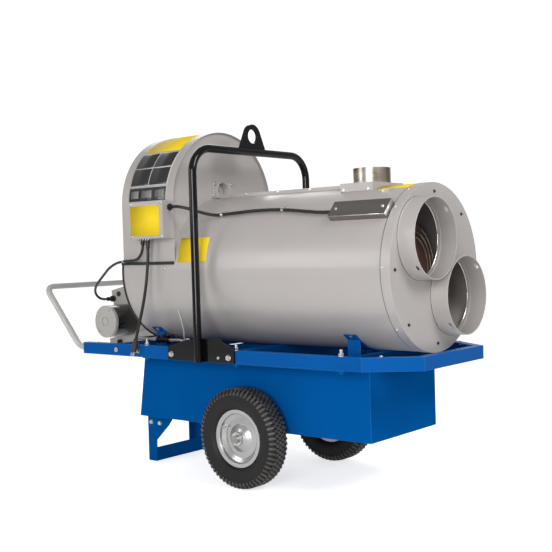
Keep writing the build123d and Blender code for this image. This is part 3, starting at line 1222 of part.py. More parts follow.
def power_switch():
    """A toggle lever on a ball, tilted down at rest."""
    ball, neck, tip = SWITCH_BALL_R, SWITCH_ROD_R, SWITCH_TIP_R
    leave = (ball ** 2 - neck ** 2) ** 0.5
    meet = SWITCH_L - (tip ** 2 - neck ** 2) ** 0.5
    with BuildSketch() as section:
        with BuildLine():
            a = ThreePointArc((0, -ball), (ball * cos(0.3), -ball * sin(0.3)), (neck, leave))
            b = Line(a @ 1, (neck, meet))
            c = ThreePointArc(b @ 1, (tip, SWITCH_L), (0, SWITCH_L + tip))
            Line(c @ 1, (0, -ball))
        make_face()
    lever = revolve(section.sketch, Axis.Y)
    tilt = radians(SWITCH_TILT)
    seat = Plane(origin=Vector(SWITCH_X, SWITCH_Y, SWITCH_Z), x_dir=Vector(0, 1, 0),
                 z_dir=Vector(-sin(tilt), 0, cos(tilt)))
    return seat.location * lever


GLAND_L = 13.0
SENSOR_GLAND = (CONTROL_X[1], -HOOD_HALF - 24, CONTROL_Z + 130)
BURNER_GLAND = (-500.0, -HOOD_HALF - 36, CONTROL_Z)
POWER_GLAND = (-466.0, -HOOD_HALF - 38, CONTROL_Z)
CONNECTOR = burner_point(-90, BOX_FACE_Y, 121)
CONNECTOR_L = 40.0


def gland(at, out, cable_r):
    """A cable gland: a hexagon nut and a rounded cap."""
    mouth = rod(beyond(at, out, 7), beyond(at, out, GLAND_L), cable_r + 4)
    return hexagon(at, out, 2 * cable_r + 13, 7) + mouth


def box_fittings():
    """The three glands, the switch's bush and the burner's connector."""
    x = CONTROL_X[0]
    bush = rod((x - 10, SWITCH_Y, SWITCH_Z), (x, SWITCH_Y, SWITCH_Z), 9) + rod(
        (x, SWITCH_Y, SWITCH_Z), (x + 6, SWITCH_Y, SWITCH_Z), 7 - BOLT_GAP)
    bush = bush - rod((x - 11, SWITCH_Y, SWITCH_Z), (x + 7, SWITCH_Y, SWITCH_Z), SWITCH_BALL_R + BOLT_GAP)
    mid = beyond(CONNECTOR, (0, -1, 0), 14)
    plug = rod(CONNECTOR, mid, 15) + rod(mid, beyond(CONNECTOR, (0, -1, 0), CONNECTOR_L), 10)
    return [gland(SENSOR_GLAND, (1, 0, 0), SENSOR_R), gland(BURNER_GLAND, (0, 0, -1), BURNER_CABLE_R),
            gland(POWER_GLAND, (0, 0, -1), POWER_R), bush, plug]


def skin_point(x, angle):
    """A point for the sensor cable's centre, close over the drum."""
    return drum_point(x, angle, DRUM_R + SENSOR_R + 2.5)[0]


SENSOR_ROUTE = [beyond(SENSOR_GLAND, (1, 0, 0), GLAND_L), beyond(SENSOR_GLAND, (1, 0, 0), GLAND_L + 34),
                (-262.0, -322.0, 1138.0), (-232.0, -278.0, 1121.0), skin_point(-195, 45.6),
                skin_point(-105, 46.6), skin_point(10, 48.2), skin_point(127, 48.0), skin_point(217, 46.4),
                skin_point(300, 44.0),
                skin_point(375, 42.3), (COVER_X[0] + COVER_T + 6, *skin_point(0, COVER_ANGLE)[1:])]
CLIP_X = (-150.0, 172.0)   # each clip sits at the middle of the run that passes this x


def sensor_cable():
    return swept(cord_path(SENSOR_ROUTE), SENSOR_R)


def cable_clips():
    """Clips round the middle of a straight run of the sensor cable, each with a foot and a screw."""
    clips = []
    for x in CLIP_X:
        run = max(i for i, point in enumerate(SENSOR_ROUTE[:-1]) if point[0] <= x)
        start, end = Vector(*SENSOR_ROUTE[run]), Vector(*SENSOR_ROUTE[run + 1])
        middle = (start + end) / 2
        out = Vector(0, middle.Y, middle.Z - DRUM_Z)
        seat = Plane(origin=middle, x_dir=out.normalized(), z_dir=end - start).location
        floor = DRUM_R + CURVE_GAP - out.length
        bore = Cylinder(SENSOR_R + CURVE_GAP, 2 * CLIP_W)
        foot = block(floor, floor + CLIP_T, -CLIP_FOOT, 0, -CLIP_W / 2, CLIP_W / 2)
        head = rod((floor + CLIP_T, -CLIP_FOOT + 6, 0), (floor + CLIP_T + 4, -CLIP_FOOT + 6, 0), 5)
        clips.append(seat * (Cylinder(SENSOR_R + CURVE_GAP + CLIP_T, CLIP_W) + foot + head - bore))
    return clips


# ---------------------------------------------------------------- cords
BURNER_ROUTE = [beyond(BURNER_GLAND, (0, 0, -1), GLAND_L), beyond(BURNER_GLAND, (0, 0, -1), GLAND_L + 20.5),
                (-506.1, -356.5, 963.9), (-517.8, -355.5, 947.1), (-534.0, -353.5, 934.5),
                (-553.2, -351.0, 927.4), (-593.0, -346.5, 924.5), (-660.0, -339.5, 922.0),
                (-714.0, -328.0, 914.0), (-797.0, -296.0, 893.0), (-870.0, -260.0, 866.0),
                (-935.0, -234.0, 838.0), (-994.0, -211.0, 808.0), (-1036.4, -181.8, 782.3),
                (-1052.4, -162.0, 762.9), (-1058.6, -139.6, 747.3),
                beyond(CONNECTOR, (0, -1, 0), CONNECTOR_L + 28), beyond(CONNECTOR, (0, -1, 0), CONNECTOR_L)]
POWER_ROUTE = [beyond(POWER_GLAND, (0, 0, -1), GLAND_L), beyond(POWER_GLAND, (0, 0, -1), GLAND_L + 54),
               (-473.0, -361.0, 876.0), (-484.0, -364.0, 798.0), (-507.0, -366.0, 712.0),
               (-531.0, -369.0, 640.0), (-548.0, -371.0, 583.0)]


def burner_cable():
    return swept(cord_path(BURNER_ROUTE), BURNER_CABLE_R)


def power_cord():
    return swept(cord_path(POWER_ROUTE), POWER_R)


def power_plug():
    """A moulded plug with two blades and an earth pin, hanging at the end of the cord."""
    end, before = Vector(*POWER_ROUTE[-1]), Vector(*POWER_ROUTE[-2])
    seat = Plane(origin=end, z_dir=end - before).location
    neck = Pos(0, 0, 9) * Cylinder(PLUG_R - 3, 18)
    grip = Pos(0, 0, 14 + (PLUG_L - 14) / 2) * Cylinder(PLUG_R, PLUG_L - 14)
    body = neck + grip
    for x, y in ((-6, -4), (6, -4)):
        body = body + Pos(x, y, PLUG_L + 9) * Box(2, 6, 20)
    return seat * (body + Pos(0, 6, PLUG_L + 9) * Cylinder(2.4, 20))


# ---------------------------------------------------------------- write the parts
def save(name, shape):
    """One STEP file per node; a list is kept as separate solids."""
    solids = shape if isinstance(shape, list) else [shape]
    solids = [solid for item in solids for solid in item.solids()]
    whole = solids[0] if len(solids) == 1 else Compound(solids)
    export_step(Pos(ORIGIN_SHIFT, 0, 0) * whole, f"parts/{name}.step")


def main():
    os.makedirs("parts", exist_ok=True)
    save("deck_rails", deck_rails())
    save("deck_crossmembers", deck_crossmembers())
    save("drum_saddles", [drum_saddle(x) for x in SADDLE_X])
    save("fuel_tank", fuel_tank())
    save("filler_neck", filler_neck())
    save("fuel_cap", fuel_cap())
    save("hanger_brackets", hanger_brackets())
    save("leg_stand", leg_stand())
    save("tow_handle", tow_handle())
    save("lifting_frame", lifting_frame())
    save("lifting_eye", lifting_eye())
    save("lifting_side_plates", lifting_side_plates())
    save("frame_bolts", frame_bolts())
    save("shell_screws", shell_screws())
    save("wheel_axle", wheel_axle())
    for name, side in (("left", 1), ("right", -1)):
        save(f"{name}_tyre", tyre(side))
        save(f"{name}_rim", rim(side))
    save("body_shell", body_shell())
    save("front_end_cap", front_end_cap())
    for name in COLLARS:
        save(f"{name}_outlet_collar", outlet_collar(name))
    save("top_seam_strip", top_seam_strip())
    save("edge_trim", edge_trim())
    save("fan_hood_band", fan_hood_band())
    save("hood_front_plate", hood_front_plate())
    save("motor_mount", motor_mount())
    save("fan_motor", fan_motor())
    save("fan_rotor", fan_rotor())
    save("hood_rear_panel", hood_rear_panel())
    save("inlet_guard", inlet_guard())
    save("lower_rear_panel", lower_rear_panel())
    save("combustion_chamber", combustion_chamber())
    save("flue_base", flue_base())
    save("flue_collar", flue_collar())
    save("limit_switch_cover", limit_switch_cover())
    save("burner_housing", burner_housing())
    save("burner_intake_box", burner_intake_box())
    save("ignition_box", ignition_box())
    save("reset_button", reset_button())
    save("air_damper_knob", air_damper_knob())
    save("burner_motor", burner_motor())
    save("burner_end_cap", burner_end_cap())
    save("burner_rotor", burner_rotor())
    save("blast_tube", blast_tube())
    save("fuel_pump", fuel_pump())
    save("fuel_pipes", fuel_pipes())
    save("fuel_valve_body", fuel_valve_body())
    save("fuel_valve_lever", fuel_valve_lever())
    save("fuel_filter", fuel_filter())
    save("control_box", control_box())
    save("control_box_lid", control_box_lid())
    save("power_switch", power_switch())
    save("box_fittings", box_fittings())
    save("sensor_cable", sensor_cable())
    save("cable_clips", cable_clips())
    save("burner_cable", burner_cable())
    save("power_cord", power_cord())
    save("power_plug", power_plug())


main()
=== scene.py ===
# %% [markdown]
# # A forced air heater on its cart
#
# The heater is an oil-fired drum on a two-wheeled cart. Its sheet metal, tubes and castings come
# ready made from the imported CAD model. This lesson dresses them: it adds the cords, the tyres'
# tread, the plain colour panels and the small rubber pieces, and gives every surface its finish.
# Loading the frame first means each piece can be placed by the numbers the CAD already has.

# %% Load the frame
import bpy
import bmesh
from math import cos, pi, radians, sin
from mathutils import Matrix, Vector


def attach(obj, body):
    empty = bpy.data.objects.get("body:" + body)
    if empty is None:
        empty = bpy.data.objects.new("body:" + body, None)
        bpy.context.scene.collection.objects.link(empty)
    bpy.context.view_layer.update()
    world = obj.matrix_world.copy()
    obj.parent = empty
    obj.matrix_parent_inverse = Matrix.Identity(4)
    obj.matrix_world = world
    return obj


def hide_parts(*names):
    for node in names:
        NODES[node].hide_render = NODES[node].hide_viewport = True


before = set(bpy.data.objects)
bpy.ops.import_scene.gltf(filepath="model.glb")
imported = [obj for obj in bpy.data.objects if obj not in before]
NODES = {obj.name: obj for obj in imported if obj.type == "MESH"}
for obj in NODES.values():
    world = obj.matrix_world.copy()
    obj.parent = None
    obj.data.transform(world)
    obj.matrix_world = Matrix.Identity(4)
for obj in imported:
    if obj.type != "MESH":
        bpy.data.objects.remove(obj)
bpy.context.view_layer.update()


# %% [markdown]
# ## The camera
#
# The photograph was taken from a little above the middle of the drum, on the control side and
# ahead of the outlets. The camera's place, its three directions and its lens were solved from the
# wheels, the collars and the deck's edges. Writing them as a matrix keeps the slight roll, which
# pointing the camera at a target would lose.

# %% Set the camera
AZIMUTH, PITCH, ROLL = radians(39.653), radians(-1.493), radians(-1.679)
CAMERA_AT = Vector((2.80585, -3.196, 0.950))
SENSOR_MM, FOCAL_PX, PHOTO_PX = 36.0, 967.4, 552
level_right = Vector((cos(AZIMUTH), sin(AZIMUTH), 0))
level_ahead = Vector((-sin(AZIMUTH), cos(AZIMUTH), 0))
ahead = level_ahead * cos(PITCH) + Vector((0, 0, sin(PITCH)))
above = -level_ahead * sin(PITCH) + Vector((0, 0, cos(PITCH)))
right = level_right * cos(ROLL) + above * sin(ROLL)
up = -level_right * sin(ROLL) + above * cos(ROLL)


def in_scene(name, data):
    """An object with this data, linked to the scene."""
    thing = bpy.data.objects.new(name, data)
    bpy.context.scene.collection.objects.link(thing)
    return thing


lens = bpy.data.cameras.new("photo_camera")
lens.sensor_width = SENSOR_MM
lens.lens = SENSOR_MM * FOCAL_PX / PHOTO_PX
lens.clip_end = 100
camera = in_scene("photo_camera", lens)
camera.matrix_world = Matrix((right, up, -ahead)).transposed().to_4x4()
camera.matrix_world.translation = CAMERA_AT
bpy.context.scene.camera = camera
print("lens", round(lens.lens, 2), "mm")

# %% [markdown]
# ## Finishes
#
# A finish is more than a colour. Powder coat has a fine orange peel and a little unevenness, plated
# steel has grain, rubber has dust in its pores. One helper builds the part that all of them share:
# object coordinates, a slow change of tone, a slow change of roughness, and a fine bump on edges
# that a Bevel node rounds. Each finish then only states its own numbers, so they read like a
# paint card. The smaller helpers come first, because every node tree below is made with them.

# %% Helpers for nodes
def add_node(nodes, kind, **values):
    """A new node with some inputs set: an underscore stands for a space in an input's name."""
    node = nodes.new(kind)
    for label, value in values.items():
        node.inputs[label.replace("_", " ")].default_value = value
    return node


def calculator(nodes, operation, kind="ShaderNodeMath"):
    """A maths node that does one operation."""
    node = nodes.new(kind)
    node.operation = operation
    return node


def object_place(tree):
    """The object coordinates that a finish already reads."""
    return next(n for n in tree.nodes if n.type == "TEX_COORD").outputs["Object"]


def mix_over(material, factor, colour):
    """Mixes one more colour over a finish's own tones, as far as a socket says."""
    tree = material.node_tree
    mixed = tree.nodes.new("ShaderNodeMix")
    mixed.data_type = "RGBA"
    mixed.inputs["B"].default_value = (*colour, 1)
    tree.links.new(factor, mixed.inputs["Factor"])
    tree.links.new(tree.nodes["Tones"].outputs[0], mixed.inputs["A"])
    tree.links.new(mixed.outputs["Result"], tree.nodes["Surface"].inputs["Base Color"])


print("node helpers ready")

# %% [markdown]
# ## One recipe
#
# The same noise drives tone and gloss, since a patch of paint that is a little darker is also a
# little duller. The nodes that later helpers look for are named.

# %% A helper for finishes
CLOUD_LOW, CLOUD_HIGH = 0.3, 0.7       # the share of the clouds' noise that is used


def finish(name, colour, tone=0.06, rough=(0.35, 0.45), metallic=0.0, grain=(900.0, 0.02),
           stretch=(1, 1, 1), cloud=3.0, edge=0.0012, coat=0.0, specular=0.5):
    """A shader with clouded tone and roughness, and a fine grain over rounded edges."""
    material = bpy.data.materials.new(name)
    material.use_nodes = True
    tree = material.node_tree
    nodes, links = tree.nodes, tree.links
    nodes.clear()
    out = nodes.new("ShaderNodeOutputMaterial")
    shader = add_node(nodes, "ShaderNodeBsdfPrincipled", Metallic=metallic, Coat_Weight=coat,
                      Coat_Roughness=0.12, Specular_IOR_Level=specular)
    shader.name = "Surface"
    links.new(shader.outputs[0], out.inputs[0])
    where = nodes.new("ShaderNodeTexCoord")
    scale = add_node(nodes, "ShaderNodeMapping", Scale=stretch)
    links.new(where.outputs["Object"], scale.inputs["Vector"])
    clouds = add_node(nodes, "ShaderNodeTexNoise", Scale=cloud, Detail=5)
    links.new(scale.outputs[0], clouds.inputs["Vector"])
    tones = nodes.new("ShaderNodeValToRGB")
    tones.name = "Tones"
    dark, light = tones.color_ramp.elements
    dark.position, light.position = CLOUD_LOW, CLOUD_HIGH
    dark.color = (*[c * (1 - tone) for c in colour], 1)
    light.color = (*[min(c * (1 + tone), 1) for c in colour], 1)
    links.new(clouds.outputs["Fac"], tones.inputs[0])
    links.new(tones.outputs[0], shader.inputs["Base Color"])
    gloss = add_node(nodes, "ShaderNodeMapRange", From_Min=CLOUD_LOW, From_Max=CLOUD_HIGH,
                     To_Min=rough[0], To_Max=rough[1])
    links.new(clouds.outputs["Fac"], gloss.inputs["Value"])
    links.new(gloss.outputs[0], shader.inputs["Roughness"])
    fine = add_node(nodes, "ShaderNodeTexNoise", Scale=grain[0])
    links.new(scale.outputs[0], fine.inputs["Vector"])
    bump = add_node(nodes, "ShaderNodeBump", Strength=grain[1], Distance=0.001)
    links.new(fine.outputs["Fac"], bump.inputs["Height"])
    if edge:
        rounded = add_node(nodes, "ShaderNodeBevel", Radius=edge)
        rounded.samples = 4
        links.new(rounded.outputs[0], bump.inputs["Normal"])
    links.new(bump.outputs[0], shader.inputs["Normal"])
    return material


print("finish helper ready")

# %% [markdown]
# ## The paints
#
# The drum and hood wear a warm silver grey enamel, the cart a strong blue, the lifting frame a
# glossy black. The tank and the members in its shade take a rougher blue, which is how the same
# paint looks where no lamp reflects in it, and a slightly darker one, which is painted shade. Sheet
# metal is never quite flat, so grey and blue get a second, very wide bump, which breaks up
# reflections the way rolled sheet does.

# %% Mix the paints
def rolled_sheet(material, size=2.2, depth=0.0012):
    """Adds the slow waves of rolled sheet under a finish's grain."""
    tree = material.node_tree
    bump = next(n for n in tree.nodes if n.type == "BUMP")
    waves = add_node(tree.nodes, "ShaderNodeTexNoise", Scale=size, Detail=1)
    slow = add_node(tree.nodes, "ShaderNodeBump", Strength=0.35, Distance=depth)
    tree.links.new(object_place(tree), waves.inputs["Vector"])
    tree.links.new(waves.outputs["Fac"], slow.inputs["Height"])
    for link in list(bump.inputs["Normal"].links):
        tree.links.new(link.from_socket, slow.inputs["Normal"])
    tree.links.new(slow.outputs[0], bump.inputs["Normal"])
    return material


GREY = rolled_sheet(finish("silver_grey_enamel", (0.430, 0.403, 0.388), 0.025, (0.34, 0.43), 0.20,
                           (700, 0.03), coat=0.08))
BLUE = rolled_sheet(finish("blue_enamel", (0.0008, 0.080, 0.310), 0.07, (0.26, 0.36), 0.0,
                           (600, 0.05), specular=0.05), 3.0, 0.002)
# a copy of the blue with painted shade: a little darker, for the parts in the deck's shade
SHADED_BLUE = rolled_sheet(finish("blue_enamel_painted_shade", (0.0008, 0.080, 0.295), 0.07, (0.40, 0.50), 0.0,
                                (600, 0.05), specular=0.0), 3.0, 0.002)
BLACK = finish("black_gloss_enamel", (0.004, 0.0035, 0.0038), 0.2, (0.06, 0.12), 0.0, (500, 0.03),
               specular=0.3)
SILVER = finish("pale_handle_paint", (0.50, 0.485, 0.47), 0.06, (0.30, 0.42), 0.15, (500, 0.06),
                coat=0.1)
WHEEL = finish("wheel_paint", (0.44, 0.435, 0.435), 0.10, (0.17, 0.30), 0.85, (450, 0.06), coat=0.2)
BURNER = finish("burner_paint", (0.40, 0.375, 0.345), 0.05, (0.36, 0.48), 0.1, (650, 0.04))
print("paints", [m.name for m in (GREY, BLUE, SHADED_BLUE, BLACK, SILVER, WHEEL, BURNER)])

# %% [markdown]
# ## Painted highlights on folds
#
# Sharp folds catch a thin line of light, and here that highlight is painted into the colour as a
# thin lighter line. It could be painted by hand along every edge. A Bevel node finds the edges by
# itself: where its rounded normal leaves the flat one, there is a fold, and the lighter colour of
# the painted highlight is mixed in.

# %% Paint a highlight on folds
NO_FOLD, FULL_FOLD = 0.995, 0.86       # how far the two normals agree


def painted_fold_highlight(material, colour, radius=0.0022):
    """Paints a highlight: mixes a lighter colour in where a rounded normal leaves the flat one, which is
    along folds.
    """
    tree = material.node_tree
    nodes, links = tree.nodes, tree.links
    rounded = add_node(nodes, "ShaderNodeBevel", Radius=radius)
    rounded.samples = 6
    flat = nodes.new("ShaderNodeNewGeometry")
    same = calculator(nodes, "DOT_PRODUCT", "ShaderNodeVectorMath")
    fold = add_node(nodes, "ShaderNodeMapRange", From_Min=NO_FOLD, From_Max=FULL_FOLD)
    links.new(rounded.outputs[0], same.inputs[0])
    links.new(flat.outputs["True Normal"], same.inputs[1])
    links.new(same.outputs["Value"], fold.inputs["Value"])
    mix_over(material, fold.outputs[0], colour)


# the lighter colours below are painted highlights along the folds, not a colour of the paint
painted_fold_highlight(BLUE, (0.03, 0.20, 0.50))
painted_fold_highlight(SHADED_BLUE, (0.03, 0.20, 0.46))
painted_fold_highlight(GREY, (0.62, 0.60, 0.585), 0.0016)
print("folds lightened")

# %% [markdown]
# ## Bare and plated metal
#
# Zinc plate is pale with a slight cloud, stainless sheet has a grain that runs one way, and
# castings are rough. The grain could be an image, but noise drawn out along one axis never
# repeats and needs no unwrapping.

# %% Make the metals
ZINC_NUMBERS = ((0.62, 0.61, 0.59), 0.12, (0.22, 0.40), 1.0, (400, 0.05))
DRAWN = (1, 1, 14)                     # grain drawn out along one axis
ZINC = finish("zinc_plate", *ZINC_NUMBERS, cloud=60)
STAINLESS = finish("stainless_sheet", (0.60, 0.58, 0.55), 0.05, (0.28, 0.36), 1.0, (240, 0.015),
                   DRAWN, edge=0.0006)
COVER = finish("cover_steel", (0.27, 0.255, 0.24), 0.05, (0.12, 0.20), 1.0, (240, 0.04), DRAWN,
               edge=0.0006)
CHROME = finish("chrome_plate", (0.68, 0.67, 0.66), 0.05, (0.10, 0.18), 1.0, (300, 0.03), cloud=40,
                edge=0.0004)
STEEL = finish("plain_steel", (0.34, 0.33, 0.32), 0.10, (0.30, 0.45), 1.0, (300, 0.05), cloud=20)
CASTING = finish("cast_metal", (0.42, 0.41, 0.39), 0.08, (0.42, 0.58), 0.8, (260, 0.25), cloud=12)
GREY_CASTING = finish("grey_casting", (0.46, 0.44, 0.42), 0.05, (0.38, 0.50), 0.2, (300, 0.15))
# a lighter copy of the cover's metal: painted light for the cover's end
COVER_END_PAINTED_LIGHT = finish("cover_steel_painted_light", (0.55, 0.54, 0.52), 0.05, (0.26, 0.36), 0.6, (240, 0.04),
                    edge=0.0006)
PIPE_STEEL = finish("pipe_steel", (0.52, 0.47, 0.40), 0.12, (0.28, 0.42), 1.0, (260, 0.05), cloud=18)
print("metals ready")

# %% [markdown]
# ## Heat tints and second colours
#
# The flue and the chamber's end have been hot, so straw and brown tints drift over them: a colour
# ramp on wide noise takes the place of the metal's own colour. Some nodes hold pieces of two
# colours, such as plated screws on the drum and dark ones round the outlets, or a rubber plug with
# bare blades. All of one colour lie past the others along an axis, so a place on that axis is
# enough to tell them apart, and the CAD node stays whole.

# %% Tint the hot metal and split two finishes
TINT_STOPS = (0.35, 0.5, 0.68)
DARK_SCREWS_PAST = 0.9405              # X: only the screws round the outlets lie ahead of this
BLADES_PAST = 0.5285                   # Z: only the plug's blades hang below this
CHANGE_WIDTH = 0.0004


def heat_tinted(name, tints, wide):
    """Stainless sheet that has been hot: tints drift over the metal."""
    material = finish(name, (0.62, 0.59, 0.55), 0.05, (0.24, 0.36), 1.0, (260, 0.06), (1, 1, 10),
                      edge=0.0006)
    tree = material.node_tree
    drift = add_node(tree.nodes, "ShaderNodeTexNoise", Scale=wide, Detail=3, Distortion=0.6)
    ramp = tree.nodes.new("ShaderNodeValToRGB")
    stops = ramp.color_ramp.elements
    stops[0].position, stops[1].position = TINT_STOPS[0], TINT_STOPS[2]
    stops.new(TINT_STOPS[1])
    for stop, tint in zip(stops, tints):
        stop.color = (*tint, 1)
    tree.links.new(object_place(tree), drift.inputs["Vector"])
    tree.links.new(drift.outputs["Fac"], ramp.inputs[0])
    tree.links.new(ramp.outputs[0], tree.nodes["Surface"].inputs["Base Color"])
    return material


def coloured_past(material, axis, start, colour, width=CHANGE_WIDTH):
    """A second colour for what lies past a place along one axis, or before it if width is negative."""
    tree = material.node_tree
    nodes, links = tree.nodes, tree.links
    axes = nodes.new("ShaderNodeSeparateXYZ")
    past = add_node(nodes, "ShaderNodeMapRange", From_Min=start, From_Max=start + width)
    links.new(object_place(tree), axes.inputs[0])
    links.new(axes.outputs[axis], past.inputs["Value"])
    mix_over(material, past.outputs[0], colour)
    return material


SCREW = coloured_past(finish("screw_plate", *ZINC_NUMBERS, cloud=60), "X", DARK_SCREWS_PAST,
                      (0.07, 0.062, 0.058))
PLUG = coloured_past(finish("plug_rubber", (0.030, 0.016, 0.012), 0.2, (0.36, 0.52), 0.0, (700, 0.12),
                            edge=0.0005), "Z", BLADES_PAST, (0.60, 0.59, 0.57), -CHANGE_WIDTH)
FLUE = heat_tinted("hot_flue_steel", ((0.50, 0.47, 0.43), (0.40, 0.34, 0.27), (0.17, 0.11, 0.07)), 11)
CHAMBER = heat_tinted("chamber_steel", ((0.34, 0.22, 0.18), (0.24, 0.14, 0.11), (0.13, 0.07, 0.06)), 4)
CHAMBER.node_tree.nodes["Surface"].inputs["Metallic"].default_value = 0.35
print("tinted or in two colours:", [m.name for m in (SCREW, PLUG, FLUE, CHAMBER)])

# %% [markdown]
# ## Rubber and plastic
#
# Rubber is dark but never black: light catches the pores and the dust in them. A tyre's tread
# blocks and lugs are paler than its walls and take a finish of their own. Moulded plastic has a
# finer, sharper grain.

# %% Make the rubbers and plastics
DARK_RUBBER = (0.012, 0.0115, 0.0115)
RUBBER = finish("tyre_rubber", (0.0105, 0.0095, 0.0090), 0.35, (0.46, 0.66), 0.0, (420, 0.35), cloud=9,
                edge=0.0008, specular=0.28)
TREAD_RUBBER = finish("tread_rubber", (0.056, 0.052, 0.050), 0.45, (0.38, 0.60), 0.0, (420, 0.35),
                      cloud=30, specular=0.45)
TRIM = finish("trim_rubber", DARK_RUBBER, 0.2, (0.42, 0.58), 0.0, (600, 0.15), edge=0.0008)
CABLE = finish("cable_rubber", DARK_RUBBER, 0.2, (0.30, 0.44), 0.0, (700, 0.10), edge=0, specular=0.35)
PLASTIC = finish("black_plastic", (0.013, 0.013, 0.0135), 0.15, (0.32, 0.45), 0.0, (900, 0.12),
                 edge=0.0005)
MOTOR_BLACK = finish("motor_black", (0.006, 0.006, 0.0065), 0.15, (0.14, 0.24), 0.0, (420, 0.06),
                     coat=0.3)
NYLON = finish("white_nylon", (0.60, 0.59, 0.56), 0.03, (0.30, 0.40), 0.0, (700, 0.04), edge=0.0003)
print("rubbers and plastics ready")

# %% [markdown]
# ## Dressing the CAD pieces
#
# Each CAD node keeps its shape and takes a finish. A table from node to finish is easier to check
# than sixty separate assignments: a wrong name stops the script, and a node that the table leaves
# out is printed.

# %% Give every CAD node its finish
CAD_FINISH = {
    # the cart
    "deck_rails": BLUE, "drum_saddles": BLUE, "filler_neck": BLUE, "fuel_tank": SHADED_BLUE,
    "deck_crossmembers": SHADED_BLUE, "hanger_brackets": SHADED_BLUE, "leg_stand": SHADED_BLUE,
    "fuel_cap": PLASTIC, "tow_handle": SILVER, "lifting_frame": BLACK, "lifting_eye": BLACK,
    "lifting_side_plates": BLACK, "frame_bolts": ZINC, "wheel_axle": STEEL,
    "left_tyre": RUBBER, "right_tyre": RUBBER, "left_rim": WHEEL, "right_rim": WHEEL,
    # the drum and the hood
    "body_shell": GREY, "front_end_cap": GREY, "upper_outlet_collar": GREY,
    "lower_outlet_collar": GREY, "top_seam_strip": GREY, "flue_base": GREY, "flue_collar": FLUE,
    "lower_rear_panel": GREY, "fan_hood_band": GREY, "hood_front_plate": GREY,
    "hood_rear_panel": GREY, "motor_mount": GREY, "edge_trim": TRIM, "shell_screws": SCREW,
    "limit_switch_cover": COVER, "combustion_chamber": CHAMBER, "inlet_guard": ZINC,
    "fan_motor": GREY_CASTING, "fan_rotor": PLASTIC,
    # the burner and its fuel line
    "burner_housing": BURNER, "burner_intake_box": BURNER, "ignition_box": BURNER,
    "reset_button": PLASTIC, "air_damper_knob": PLASTIC, "burner_motor": MOTOR_BLACK,
    "burner_end_cap": GREY_CASTING, "burner_rotor": ZINC, "blast_tube": STAINLESS,
    "fuel_pump": CASTING, "fuel_filter": CASTING, "fuel_pipes": PIPE_STEEL,
    "fuel_valve_body": BLACK, "fuel_valve_lever": BLACK,
    # the controls
    "control_box": GREY, "control_box_lid": GREY, "power_switch": PLASTIC, "box_fittings": PLASTIC,
    "sensor_cable": CABLE, "burner_cable": CABLE, "power_cord": CABLE, "power_plug": PLUG,
    "cable_clips": ZINC,
}
for node, material in CAD_FINISH.items():
    for slot in NODES[node].material_slots:
        slot.material = material
print("dressed", len(CAD_FINISH), "nodes; left over:", sorted(set(NODES) - set(CAD_FINISH)))

# %% [markdown]
# ## The two free cords
#
# The burner's cable leaves its gland under the control box, turns back past the drum's rear edge
# and swings in to the burner. The mains cord simply hangs. Each follows the same points as its CAD
# tube, as the control points of one NURBS curve, because a spline bends everywhere a little, as
# rubber does, where arcs and straight runs would look like wire.

# %% Lay the cords
BURNER_ROUTE = [
    (-0.28515, -0.357, 1.004), (-0.28515, -0.357, 0.9835), (-0.29125, -0.3565, 0.9639),
    (-0.30295, -0.3555, 0.9471), (-0.31915, -0.3535, 0.9345), (-0.33835, -0.351, 0.9274),
    (-0.37815, -0.3465, 0.9245), (-0.44515, -0.3395, 0.922), (-0.49915, -0.328, 0.914),
    (-0.58215, -0.296, 0.893), (-0.65515, -0.26, 0.866), (-0.72015, -0.234, 0.838),
    (-0.77915, -0.211, 0.808), (-0.82155, -0.1818, 0.7823), (-0.83755, -0.162, 0.7629),
    (-0.84375, -0.1396, 0.7473), (-0.84434, -0.113, 0.73864), (-0.84434, -0.085, 0.73864)]
POWER_ROUTE = [
    (-0.25115, -0.359, 1.004), (-0.25115, -0.359, 0.95), (-0.25815, -0.361, 0.876),
    (-0.26915, -0.364, 0.798), (-0.29215, -0.366, 0.712), (-0.31615, -0.369, 0.64),
    (-0.33315, -0.371, 0.583)]
BURNER_CORD_R, MAINS_CORD_R = 0.006, 0.0065


def cord(name, route, radius):
    """A round rubber cord on one smooth spline."""
    curve = bpy.data.curves.new(name, "CURVE")
    curve.dimensions = "3D"
    spline = curve.splines.new("NURBS")
    spline.points.add(len(route) - 1)
    for point, place in zip(spline.points, route):
        point.co = (*place, 1)
    spline.order_u = 3
    spline.use_endpoint_u = True
    spline.resolution_u = 8
    curve.bevel_depth = radius
    curve.bevel_resolution = 5
    curve.use_fill_caps = True
    curve.materials.append(CABLE)
    piece = in_scene(name, curve)
    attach(piece, "cart")
    return piece


burner_cord = cord("burner_cord", BURNER_ROUTE, BURNER_CORD_R)
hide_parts("burner_cable")
mains_cord = cord("mains_cord", POWER_ROUTE, MAINS_CORD_R)
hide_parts("power_cord")
print("cords", burner_cord.name, mains_cord.name)

# %% [markdown]
# ## Helpers for small pieces
#
# Most of the added pieces are either turned, such as a sleeve, or made from a list of corners. The
# helpers build a bmesh, give it a finish and let it ride on a body, so a later cell only has to
# say what the piece looks like. The places come from the CAD: the axle, the drum and the hood.

# %% Helpers for meshes
X_SHIFT = 0.21485      # the axle's place along X in this frame
DRUM_Z = 0.870
DRUM_R = 0.320
HOOD_Z = 1.163
HOOD_R = 0.321


def as_mesh(name, bm):
    """The mesh of a bmesh, with its faces turned outwards."""
    bmesh.ops.recalc_face_normals(bm, faces=bm.faces)
    mesh = bpy.data.meshes.new(name)
    bm.to_mesh(mesh)
    bm.free()
    return mesh


def add_piece(name, bm, material, slot=None, body="cart", smooth=True):
    """A finished mesh object that rides on a body."""
    mesh = as_mesh(name, bm)
    mesh.materials.append(material)
    for polygon in mesh.polygons:
        polygon.use_smooth = smooth
    piece = in_scene(name, mesh)
    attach(piece, body)
    return piece


